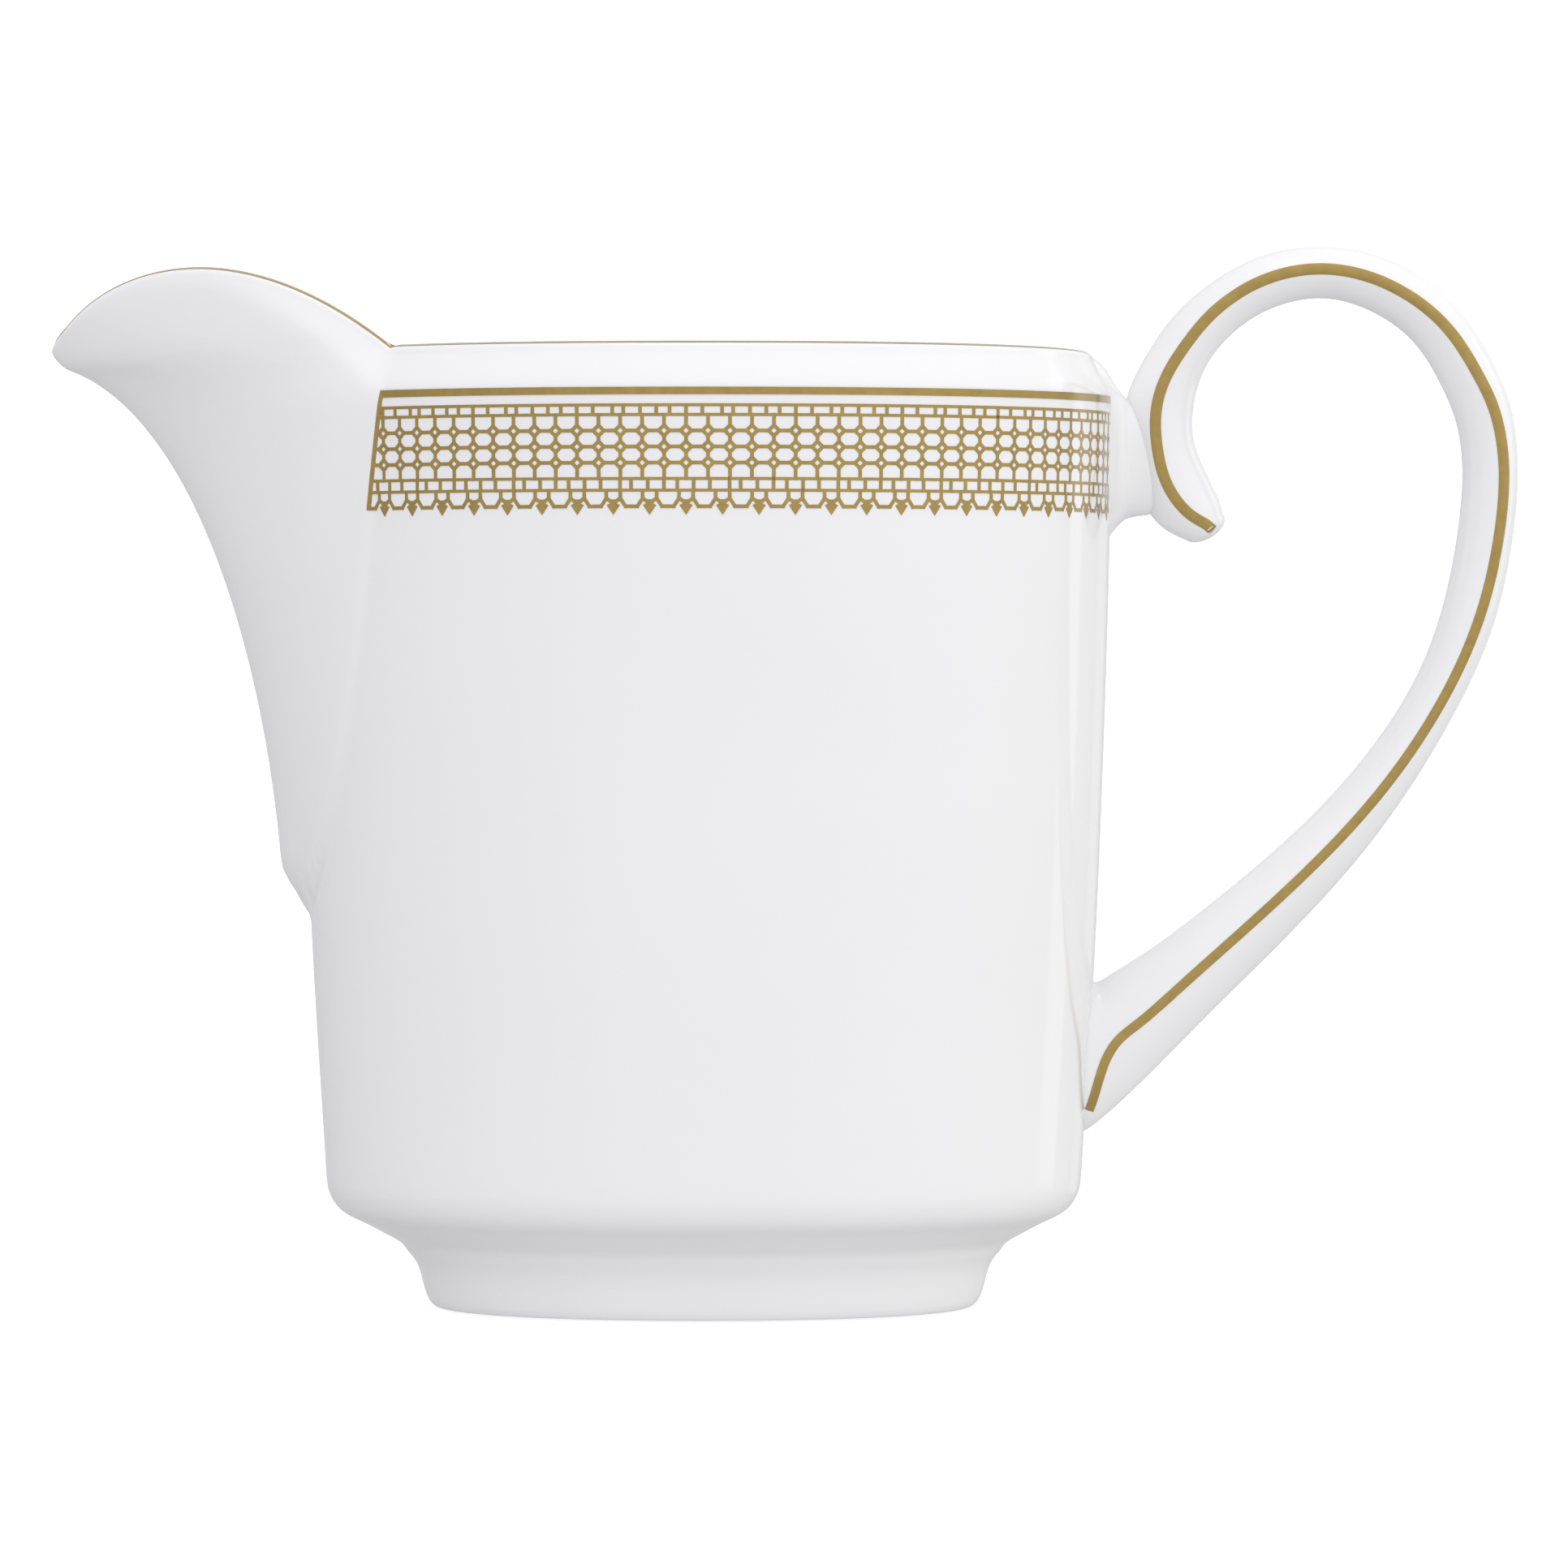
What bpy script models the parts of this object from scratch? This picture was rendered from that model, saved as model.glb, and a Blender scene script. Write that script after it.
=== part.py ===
"""Porcelain cream jug with gilt edges and a gold lace band, modelled for Blender 4.5.

The jug stands on its foot ring at z = 0, with its spout towards -X and its handle towards +X.
Its plan is an oval (a superellipse), so a turned piece is spun round as a circle of the oval's
half-length and then drawn in to the oval. All pieces are built about the pot's own upright axis
and hang from the empty jug_axis, which sets that axis back from the middle of the whole length.
In the tuples below, a reach is a distance from that axis along X, and a height is above the table.
"""

import math

import bmesh
import bpy
from mathutils import Matrix, Vector

MM = 0.001

# Driving dimensions, in millimetres.
HANDLE_REACH = 78.8
SPOUT_REACH = 63.2
RIM_HEIGHT = 92.1
RIM_HALF_LENGTH = 37.2
WALL_TOP_HEIGHT = 88.0
WALL_TOP_HALF_LENGTH = 39.5
WALL_MID_HEIGHT = 36.0
WALL_MID_HALF_LENGTH = 37.9
SHOULDER_HEIGHT = 12.4
SHOULDER_HALF_LENGTH = 36.5
WAIST_HEIGHT = 5.3
WAIST_HALF_LENGTH = 28.6
FOOT_HALF_LENGTH = 26.6
FOOT_EDGE_RADIUS = 1.3
FOOT_RING_WIDTH = 3.4
WALL_THICKNESS = 2.4
OVAL_RATIO = 0.78
OVAL_EXPONENT = 2.2
PIECE_GAP = 0.3
FILM_GAP = 0.1
FILM_THICKNESS = 0.15
FILM_EDGE_MARGIN = 0.3
RIM_GOLD_SETBACK = 1.5

# The shoulder's rounding: how far each point stands in from, and below, the shoulder's widest.
SHOULDER_ROUNDING = ((0.0, 0.0), (0.6, 2.2), (2.0, 3.7), (4.6, 4.8))
WAIST_ROUNDING = ((1.6, 1.2), (0.3, 0.0))
FOOT_NECK_OUTSET = 0.8
FOOT_NECK_SHARE = 0.6
FOOT_INNER_SPLAY = 0.5
FOOT_EDGE_STEPS = 3

# The spout: its underside (keel) and its lip are cubic curves seen from the side.
KEEL = ((40.8, 41.6), (42.5, 64.1), (49.8, 86.2), (61.8, 90.5))
LIP = ((29.4, 92.2), (43.6, 103.5), (56.7, 100.7), (63.2, 92.9))
LIP_SLICE_START = -12.0
LIP_SLICE_END = (5.0, -8.0)
SPOUT_FOOT_HEIGHT = 37.0
SPOUT_STEP_HEIGHT = 43.0
SPOUT_SEAM_TOP = 93.0
SPOUT_SEAM_HALF_WIDTH = 21.5
SPOUT_SEAM_TAPER = 4.5
SPOUT_SEAM_EXPONENT = 3.0
SPOUT_SEAM_ROUND_BELOW = 1.5
SPOUT_BEAK = 0.4
SPOUT_MIN_HALF_WIDTH = 0.4
SPOUT_ROOT_SHARE = 0.5
SPOUT_ROOT_INSET = 0.5
SPOUT_TIP_SETBACK = 0.4
SPOUT_TOP_MARGIN = 4.0
SPOUT_ROW_SPACING = 0.5
MOUTH_BOTTOM = 48.0

# The handle's stations: reach and height of its centre, thickness seen from the side, half depth,
# and how far the ridge along its flank stands out from the centre.
HANDLE_STATIONS = (
    (34.0, 21.5, 16.0, 4.6, 0.0),
    (38.4, 25.0, 12.6, 4.4, 0.0),
    (42.6, 28.5, 9.6, 4.2, 0.1),
    (50.3, 34.9, 7.6, 4.0, 0.1),
    (59.0, 43.1, 6.4, 3.9, 0.2),
    (66.7, 52.3, 5.3, 3.8, 0.5),
    (72.4, 62.5, 5.0, 3.7, 0.7),
    (75.6, 74.0, 5.2, 3.6, 1.1),
    (75.5, 85.3, 5.4, 3.6, 0.9),
    (71.0, 94.9, 5.5, 3.6, 0.4),
    (61.2, 99.9, 5.1, 3.6, 0.4),
    (51.2, 97.3, 5.1, 3.6, 0.2),
    (45.9, 91.7, 5.6, 3.6, 0.0),
    (44.0, 85.2, 6.4, 3.6, 0.0),
    (44.9, 79.6, 6.0, 3.5, 0.0),
    (47.4, 76.4, 4.8, 3.2, 0.0),
)
HANDLE_SECTION_EXPONENT = 1.35
HANDLE_SECTION_POINTS = 14
HANDLE_SAMPLES_PER_SPAN = 4
SCROLL_END_LENGTH = 2.2
LUG_CENTRE = (40.6, 82.0)
LUG_SIZE = (7.6, 6.6, 11.4)
LUG_EDGE_RADIUS = 1.2
JOINT_PAD_DEPTH = 1.2
JOINT_PAD_FLARE = 1.5
JOINT_PAD_STATIONS = 4
SCROLL_END_ANGLES = (30, 55, 75, 88)

# The gold line on the handle's flank, from the lower joint round to the end of the scroll.
HANDLE_LINE = (
    (40.0, 25.6),
    (44.5, 29.8),
    (52.6, 36.8),
    (60.2, 43.9),
    (66.3, 50.9),
    (72.2, 60.3),
    (76.1, 69.7),
    (77.4, 79.2),
    (76.0, 87.0),
    (69.8, 96.4),
    (59.6, 100.4),
    (51.8, 98.0),
    (46.0, 91.7),
    (43.8, 84.5),
    (45.4, 78.8),
    (48.2, 76.2),
)
HANDLE_LINE_WIDTH = 0.9
HANDLE_LINE_SAMPLES = 3
HANDLE_LINE_MIN_DEPTH = 1.0

# The lace band under the neck.
BAND_TOP = 87.7
BAND_BOTTOM = 75.8
BAND_START_TOP_REACH = 29.9
BAND_START_BOTTOM_REACH = 31.3
BAND_END_DEPTH = 5.5

# How finely the curved pieces are divided, and how far cutting shapes reach.
TURN_STEPS = 56
SPOUT_ROWS = 22
SPOUT_HALF_COLUMNS = 10
LIP_STEPS = 16
BLOCK_HEADROOM = 14.0
BIG = 60.0

AXIS_SHIFT = (SPOUT_REACH - HANDLE_REACH) / 2


def clear_scene():
    for obj in list(bpy.data.objects):
        bpy.data.objects.remove(obj, do_unlink=True)


def new_collection(name):
    made = bpy.data.collections.new(name)
    bpy.context.scene.collection.children.link(made)
    return made


def new_material(name, colour, roughness, metallic):
    made = bpy.data.materials.new(name)
    made.use_nodes = True
    shader = made.node_tree.nodes["Principled BSDF"]
    shader.inputs["Base Color"].default_value = (*colour, 1.0)
    shader.inputs["Roughness"].default_value = roughness
    shader.inputs["Metallic"].default_value = metallic
    made.diffuse_color = (*colour, 1.0)
    return made


def add_object(name, data, group, surface=None):
    """Link a new object to a collection and hang it from the pot's axis."""
    made = bpy.data.objects.new(name, data)
    group.objects.link(made)
    made.parent = AXIS
    if surface is not None:
        data.materials.append(surface)
    return made


def as_guide(obj):
    obj.hide_render = True
    obj.display_type = "WIRE"
    return obj


def evaluated_mesh(obj):
    graph = bpy.context.evaluated_depsgraph_get()
    graph.update()
    return bpy.data.meshes.new_from_object(obj.evaluated_get(graph))


def shade(mesh, sharp_degrees=35.0):
    mesh.shade_smooth()
    mesh.set_sharp_from_angle(angle=math.radians(sharp_degrees))


def combine(target, tool, operation):
    """Add an exact Boolean to the target."""
    step = target.modifiers.new(f"{operation.lower()} {tool.name}", "BOOLEAN")
    step.operation = operation
    step.solver = "EXACT"
    step.object = tool


# ---- turned pieces ----


def oval_reach(angle):
    """Distance from the axis to an oval of half-length 1, in the direction of the angle."""
    along = abs(math.cos(angle)) ** OVAL_EXPONENT
    across = (abs(math.sin(angle)) / OVAL_RATIO) ** OVAL_EXPONENT
    return (along + across) ** (-1 / OVAL_EXPONENT)


def oval_half_length(height):
    """Half-length of the pot's outside at a height between shoulder and rim."""
    stations = (
        (SHOULDER_HEIGHT, SHOULDER_HALF_LENGTH),
        (WALL_MID_HEIGHT, WALL_MID_HALF_LENGTH),
        (WALL_TOP_HEIGHT, WALL_TOP_HALF_LENGTH),
    )
    (low, low_size), (high, high_size) = stations[:2] if height < WALL_MID_HEIGHT else stations[1:]
    share = (min(height, WALL_TOP_HEIGHT) - low) / (high - low)
    return low_size + (high_size - low_size) * share


def turned_mesh(name, profile, closed):
    """Spin a profile of (half-length, height) points round Z and draw it in to the oval."""
    points = [(reach * MM, 0.0, height * MM) for reach, height in profile]
    edges = [(i, i + 1) for i in range(len(points) - 1)]
    if closed:
        edges.append((len(points) - 1, 0))
    line = bpy.data.meshes.new(f"{name} profile")
    line.from_pydata(points, edges, [])
    lathe = bpy.data.objects.new(f"{name} lathe", line)
    CUTTERS.objects.link(lathe)
    spin = lathe.modifiers.new("spin", "SCREW")
    spin.steps = TURN_STEPS
    spin.render_steps = TURN_STEPS
    spin.use_merge_vertices = True
    spin.merge_threshold = 0.00001
    spin.use_normal_calculate = False
    mesh = evaluated_mesh(lathe)
    bpy.data.objects.remove(lathe)
    mesh.name = name
    for vertex in mesh.vertices:
        reach = math.hypot(vertex.co.x, vertex.co.y)
        if reach > 0:
            pull = oval_reach(math.atan2(vertex.co.y, vertex.co.x))
            vertex.co.x *= pull
            vertex.co.y *= pull
    mesh.update()
    return mesh


def pot_profile(clearance):
    """The pot's outside from the rim down to the waist, grown by a clearance."""
    shoulder = [
        (SHOULDER_HALF_LENGTH - inset, SHOULDER_HEIGHT - drop) for inset, drop in SHOULDER_ROUNDING
    ]
    waist = [(WAIST_HALF_LENGTH + outset, WAIST_HEIGHT + rise) for outset, rise in WAIST_ROUNDING]
    wall = [
        (RIM_HALF_LENGTH, RIM_HEIGHT),
        (WALL_TOP_HALF_LENGTH, WALL_TOP_HEIGHT),
        (WALL_MID_HALF_LENGTH, WALL_MID_HEIGHT),
    ]
    return [(reach + clearance, height) for reach, height in wall + shoulder + waist]


def pot_block(clearance):
    """The pot's outside as a solid block, grown by a clearance and carried on above the rim."""
    top = RIM_HEIGHT + BLOCK_HEADROOM
    profile = [(0.0, top), (RIM_HALF_LENGTH + clearance, top)]
    profile += [*pot_profile(clearance), (0.0, WAIST_HEIGHT)]
    name = f"pot block {clearance}"
    return as_guide(add_object(name, turned_mesh(name, profile, False), CUTTERS))


def make_pot():
    """The pot's wall and floor: an open turned surface thickened inwards."""
    mesh = turned_mesh("pot", [*pot_profile(0.0), (0.0, WAIST_HEIGHT)], False)
    pot = add_object("pot", mesh, JUG, PORCELAIN)
    wall = pot.modifiers.new("wall", "SOLIDIFY")
    wall.thickness = WALL_THICKNESS * MM
    wall.offset = -1.0
    wall.use_even_offset = True
    combine(pot, SPOUT_CHANNEL, "DIFFERENCE")
    shade(mesh)
    return pot


def make_foot_ring():
    """The ring that the pot stands on, with a rounded outer edge."""
    top = WAIST_HEIGHT - PIECE_GAP
    inner = FOOT_HALF_LENGTH - FOOT_RING_WIDTH
    profile = [(inner, top), (WAIST_HALF_LENGTH, top)]
    profile.append((FOOT_HALF_LENGTH + FOOT_NECK_OUTSET, top * FOOT_NECK_SHARE))
    for step in range(FOOT_EDGE_STEPS + 1):
        angle = math.pi / 2 * step / FOOT_EDGE_STEPS
        reach = FOOT_HALF_LENGTH - FOOT_EDGE_RADIUS * (1 - math.cos(angle))
        profile.append((reach, FOOT_EDGE_RADIUS * (1 - math.sin(angle))))
    profile.append((inner + FOOT_INNER_SPLAY, 0.0))
    mesh = turned_mesh("foot_ring", profile, True)
    shade(mesh)
    return add_object("foot_ring", mesh, JUG, PORCELAIN)


def make_rim_gilding():
    """The gold on the pot's rim, open where the spout leads out of it."""
    low = RIM_HEIGHT + FILM_GAP
    high = low + FILM_THICKNESS
    outer = RIM_HALF_LENGTH - FILM_EDGE_MARGIN
    inner = RIM_HALF_LENGTH - WALL_THICKNESS + FILM_EDGE_MARGIN
    profile = [(inner, high), (outer, high), (outer, low), (inner, low)]
    mesh = turned_mesh("rim_gilding", profile, True)
    ring = add_object("rim_gilding", mesh, JUG, GOLD)
    start = LIP[0][0] - RIM_GOLD_SETBACK
    outline = [(-BIG, 0.0), (-start, 0.0), (-start, BIG * 2), (-BIG, BIG * 2)]
    combine(ring, prism("spout end of the rim", outline, -BIG, BIG), "DIFFERENCE")
    return ring


# ---- outlines seen from the side ----


def cubic(points, share):
    """A point on a cubic Bezier curve."""
    a, b, c, d = (Vector(point) for point in points)
    rest = 1 - share
    return a * rest**3 + b * 3 * rest**2 * share + c * 3 * rest * share**2 + d * share**3


def smooth_path(stations, samples):
    """Catmull-Rom curve through stations that hold any number of values each."""
    knots = [Vector(station) for station in stations]
    first = knots[0] * 2 - knots[1]
    last = knots[-1] * 2 - knots[-2]
    knots = [first, *knots, last]
    path = []
    for a, b, c, d in zip(knots, knots[1:], knots[2:], knots[3:]):
        for step in range(samples):
            t = step / samples
            point = b * 2 + (c - a) * t
            point += (a * 2 - b * 5 + c * 4 - d) * t**2
            point += (b * 3 - a - c * 3 + d) * t**3
            path.append(point / 2)
    path.append(knots[-2])
    return path


def prism(name, outline, low_y, high_y):
    """A flat outline of (x, height) points in the XZ plane, extruded along Y into a solid."""
    curve = bpy.data.curves.new(name, "CURVE")
    curve.dimensions = "2D"
    curve.fill_mode = "BOTH"
    curve.extrude = (high_y - low_y) / 2 * MM
    spline = curve.splines.new("POLY")
    spline.points.add(len(outline) - 1)
    for point, (x, height) in zip(spline.points, outline):
        point.co = (x * MM, height * MM, 0.0, 1.0)
    spline.use_cyclic_u = True
    flat = bpy.data.objects.new(name, curve)
    CUTTERS.objects.link(flat)
    mesh = evaluated_mesh(flat)
    bpy.data.objects.remove(flat)
    weld(mesh)
    made = as_guide(add_object(name, mesh, CUTTERS))
    made.rotation_euler = (math.pi / 2, 0.0, 0.0)
    made.location = (0.0, (low_y + high_y) / 2 * MM, 0.0)
    return made


def weld(mesh):
    shape = bmesh.new()
    shape.from_mesh(mesh)
    bmesh.ops.remove_doubles(shape, verts=shape.verts, dist=0.000001)
    bmesh.ops.recalc_face_normals(shape, faces=shape.faces)
    shape.to_mesh(mesh)
    shape.free()


def ribbon_outline(path, width):
    """The outline of a ribbon of one width along a path of (x, height) points."""
    left = []
    right = []
    for i, point in enumerate(path):
        ahead = path[min(i + 1, len(path) - 1)]
        behind = path[max(i - 1, 0)]
        along = (ahead - behind).normalized()
        across = Vector((-along.y, along.x)) * width / 2
        left.append(point + across)
        right.append(point - across)
    return left + right[::-1]


# ---- spout ----


def smooth_step(value):
    share = min(max(value, 0.0), 1.0)
    return share * share * (3 - 2 * share)


def seam_half_width(height):
    """Half the spout's width where it meets the pot: a tall U, seen from the front."""
    tall = SPOUT_SEAM_TOP - SPOUT_FOOT_HEIGHT - SPOUT_SEAM_ROUND_BELOW
    share = (SPOUT_SEAM_TOP - height) / tall
    share = min(max(share, 0.0), 1.0)
    bow = (1 - share**SPOUT_SEAM_EXPONENT) ** (1 / SPOUT_SEAM_EXPONENT)
    return (SPOUT_SEAM_HALF_WIDTH - SPOUT_SEAM_TAPER * share) * bow


def seam_reach(height, half_width):
    """Reach of the pot's outside at a height and a half width."""
    length = oval_half_length(height)
    across = min(half_width / (length * OVAL_RATIO), 1.0)
    return length * (1 - across**OVAL_EXPONENT) ** (1 / OVAL_EXPONENT)


def spout_section(height, keel_reach, inset):
    """Half of a level section: from the keel out to the seam, then back inside the pot."""
    half_width = max(seam_half_width(height) - inset, SPOUT_MIN_HALF_WIDTH)
    start = seam_reach(height, half_width)
    depth = keel_reach - inset - start
    points = []
    for step in range(SPOUT_HALF_COLUMNS + 1):
        angle = math.pi / 2 * (1 - step / SPOUT_HALF_COLUMNS)
        out = math.sin(angle)
        points.append((start + depth * out, half_width * (1 - SPOUT_BEAK * out) * math.cos(angle)))
    points.append((start * SPOUT_ROOT_SHARE, half_width))
    return points


def spout_rows(bottom, top):
    """Heights and keel reaches of the level sections, from bottom to top."""
    rows = [(SPOUT_FOOT_HEIGHT, oval_half_length(SPOUT_FOOT_HEIGHT) - SPOUT_ROOT_INSET)]
    for step in range(SPOUT_ROWS):
        reach, height = cubic(KEEL, step / (SPOUT_ROWS - 1))
        fade = smooth_step((height - SPOUT_FOOT_HEIGHT) / (SPOUT_STEP_HEIGHT - SPOUT_FOOT_HEIGHT))
        wall = oval_half_length(height)
        rows.append((height, wall + (reach - wall) * fade))
    tip_height = LIP[3][1]
    rows.append(((KEEL[3][1] + tip_height) / 2, SPOUT_REACH - SPOUT_TIP_SETBACK))
    rows.append((tip_height, SPOUT_REACH))
    rows.append((top, SPOUT_REACH))
    kept = [row for row in rows if row[0] > bottom + SPOUT_ROW_SPACING]
    if bottom > rows[0][0]:
        after = rows.index(kept[0])
        (low, low_reach), (high, high_reach) = rows[after - 1], rows[after]
        share = (bottom - low) / (high - low)
        kept.insert(0, (bottom, low_reach + (high_reach - low_reach) * share))
    else:
        kept.insert(0, rows[0])
    return kept


def spout_form(name, inset, bottom, top):
    """A closed loft through the spout's level sections, which are unlike one another."""
    rings = []
    for height, keel_reach in spout_rows(bottom, top):
        half = spout_section(height, keel_reach, inset)
        far_side = [(reach, width) for reach, width in half]
        near_side = [(reach, -width) for reach, width in reversed(half[1:])]
        rings.append([(-r * MM, w * MM, height * MM) for r, w in near_side + far_side])
    count = len(rings[0])
    points = [point for ring in rings for point in ring]
    faces = []
    for row in range(len(rings) - 1):
        for i in range(count):
            j = (i + 1) % count
            low, high = row * count, (row + 1) * count
            faces.append((low + i, low + j, high + j, high + i))
    faces.append(tuple(range(count)))
    faces.append(tuple(reversed(range(len(points) - count, len(points)))))
    mesh = bpy.data.meshes.new(name)
    mesh.from_pydata(points, [], faces)
    weld(mesh)
    return mesh


def lip_prism(name, low, high):
    """The space between two heights above the lip's curve, seen from the side."""
    curve = [cubic(LIP, step / LIP_STEPS) for step in range(LIP_STEPS + 1)]
    behind = Vector((LIP_SLICE_START, LIP[0][1]))
    ahead = Vector((SPOUT_REACH, LIP[3][1])) + Vector(LIP_SLICE_END)
    curve = [behind, *curve, ahead]
    lower = [(-reach, height + low) for reach, height in curve]
    upper = [(-reach, height + high) for reach, height in reversed(curve)]
    return prism(name, lower + upper, -BIG, BIG)


def make_spout():
    """The spout's shell, seamed to the pot's wall and trimmed to the lip."""
    top = max(point[1] for point in LIP) + SPOUT_TOP_MARGIN
    mesh = spout_form("spout", 0.0, SPOUT_FOOT_HEIGHT, top)
    shade(mesh)
    spout = add_object("spout", mesh, JUG, PORCELAIN)
    combine(spout, SPOUT_CHANNEL, "DIFFERENCE")
    combine(spout, pot_block(PIECE_GAP), "DIFFERENCE")
    combine(spout, lip_prism("above the lip", 0.0, BIG), "DIFFERENCE")
    return spout


def make_lip_gilding():
    """The gold on the spout's lip: a thin slice of the spout's shell, just above its edge."""
    top = max(point[1] for point in LIP) + SPOUT_TOP_MARGIN
    mesh = spout_form("lip_gilding", FILM_EDGE_MARGIN, SPOUT_FOOT_HEIGHT, top)
    gilding = add_object("lip_gilding", mesh, JUG, GOLD)
    inset = WALL_THICKNESS - FILM_EDGE_MARGIN
    inner = spout_form("gilding inside", inset, SPOUT_FOOT_HEIGHT, top + 1.0)
    inside = as_guide(add_object("gilding inside", inner, CUTTERS))
    combine(gilding, inside, "DIFFERENCE")
    combine(gilding, pot_block(PIECE_GAP), "DIFFERENCE")
    combine(gilding, lip_prism("lip film", FILM_GAP, FILM_GAP + FILM_THICKNESS), "INTERSECT")
    return gilding


# ---- handle ----


def handle_section(thickness, half_depth, ridge, grow):
    """Points round the section: across is in the handle's own plane, aside is along Y."""
    half = thickness / 2 + grow
    depth = half_depth + grow
    points = []
    for step in range(HANDLE_SECTION_POINTS):
        angle = math.tau * step / HANDLE_SECTION_POINTS
        power = 2 / HANDLE_SECTION_EXPONENT
        along = math.copysign(abs(math.cos(angle)) ** power, math.cos(angle))
        aside = math.copysign(abs(math.sin(angle)) ** power, math.sin(angle))
        reach = half - ridge if along > 0 else half + ridge
        points.append((ridge + reach * along, depth * aside))
    return points


def handle_form(name, grow, station_count=len(HANDLE_STATIONS)):
    """The handle as a loft of ridged oval sections; the whole one has a rounded end on its scroll."""
    path = smooth_path(HANDLE_STATIONS[:station_count], HANDLE_SAMPLES_PER_SPAN)
    if station_count == len(HANDLE_STATIONS):
        end = path[-1].copy()
        along = path[-1] - path[-2]
        along = Vector((along[0], along[1])).normalized()
        for degrees in SCROLL_END_ANGLES:
            shift = along * SCROLL_END_LENGTH * math.sin(math.radians(degrees))
            shrink = math.cos(math.radians(degrees))
            sizes = [value * shrink for value in end[2:]]
            path.append(Vector((end[0] + shift.x, end[1] + shift.y, *sizes)))
    rings = []
    for i, station in enumerate(path):
        ahead = path[min(i + 1, len(path) - 1)]
        behind = path[max(i - 1, 0)]
        along = Vector((ahead[0] - behind[0], ahead[1] - behind[1])).normalized()
        outward = Vector((along.y, -along.x))
        centre = Vector((station[0], station[1]))
        ring = []
        for across, aside in handle_section(station[2], station[3], station[4], grow):
            place = centre + outward * across
            ring.append((place.x * MM, aside * MM, place.y * MM))
        rings.append(ring)
    count = HANDLE_SECTION_POINTS
    points = [point for ring in rings for point in ring]
    faces = []
    for row in range(len(rings) - 1):
        for i in range(count):
            j = (i + 1) % count
            low, high = row * count, (row + 1) * count
            faces.append((low + i, low + j, high + j, high + i))
    faces.append(tuple(range(count)))
    faces.append(tuple(range(len(points) - count, len(points))))
    mesh = bpy.data.meshes.new(name)
    mesh.from_pydata(points, [], faces)
    weld(mesh)
    return mesh


def lug_block(name, grow, edge):
    """The short bridge between the pot's neck and the handle's scroll."""
    bpy.ops.mesh.primitive_cube_add(size=1.0)
    block = bpy.context.active_object
    block.name = name
    for group in list(block.users_collection):
        group.objects.unlink(block)
    CUTTERS.objects.link(block)
    size = (Vector(LUG_SIZE) + Vector((0.0, 2.0, 2.0)) * grow) * MM
    block.data.transform(Matrix.Diagonal((*size, 1.0)))
    block.parent = AXIS
    block.location = (LUG_CENTRE[0] * MM, 0.0, LUG_CENTRE[1] * MM)
    rounding = block.modifiers.new("rounded edges", "BEVEL")
    rounding.width = edge * MM
    rounding.segments = 2
    return as_guide(block)


def make_handle():
    mesh = handle_form("handle", 0.0)
    shade(mesh)
    handle = add_object("handle", mesh, JUG, PORCELAIN)
    combine(handle, lug_block("lug", 0.0, LUG_EDGE_RADIUS), "UNION")
    clearance = PIECE_GAP + JOINT_PAD_DEPTH + PIECE_GAP
    combine(handle, pot_block(clearance), "DIFFERENCE")
    return handle


def make_upper_handle_joint():
    """The slip that joins the lug to the pot, a little wider than the lug."""
    block = lug_block("upper_handle_joint", JOINT_PAD_FLARE / 2, LUG_EDGE_RADIUS * 1.5)
    mesh = evaluated_mesh(block)
    bpy.data.objects.remove(block)
    joint = add_object("upper_handle_joint", mesh, JUG, PORCELAIN)
    joint.location = (LUG_CENTRE[0] * MM, 0.0, LUG_CENTRE[1] * MM)
    trim_joint(joint)
    return joint


def make_lower_handle_joint():
    """The slip that joins the handle's foot to the pot."""
    mesh = handle_form("lower_handle_joint", JOINT_PAD_FLARE / 2, JOINT_PAD_STATIONS)
    joint = add_object("lower_handle_joint", mesh, JUG, PORCELAIN)
    trim_joint(joint)
    return joint


def trim_joint(joint):
    """Keep the slice of a joint between the pot's wall and the handle."""
    combine(joint, pot_block(PIECE_GAP + JOINT_PAD_DEPTH), "INTERSECT")
    combine(joint, pot_block(PIECE_GAP), "DIFFERENCE")


def make_handle_line(side):
    """The gold line along one flank: a film over the handle, kept inside a ribbon."""
    name = f"handle_line_{side}"
    line = add_object(name, handle_form(name, FILM_GAP + FILM_THICKNESS), JUG, GOLD)
    core = as_guide(add_object(f"{name} core", handle_form(f"{name} core", FILM_GAP), CUTTERS))
    path = smooth_path(HANDLE_LINE, HANDLE_LINE_SAMPLES)
    low, high = (-BIG, -HANDLE_LINE_MIN_DEPTH) if side == "near" else (HANDLE_LINE_MIN_DEPTH, BIG)
    ribbon = prism(f"{name} ribbon", ribbon_outline(path, HANDLE_LINE_WIDTH), low, high)
    combine(line, core, "DIFFERENCE")
    combine(line, ribbon, "INTERSECT")
    combine(line, pot_block(2 * PIECE_GAP + JOINT_PAD_DEPTH), "DIFFERENCE")
    return line


# ---- lace band ----


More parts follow.
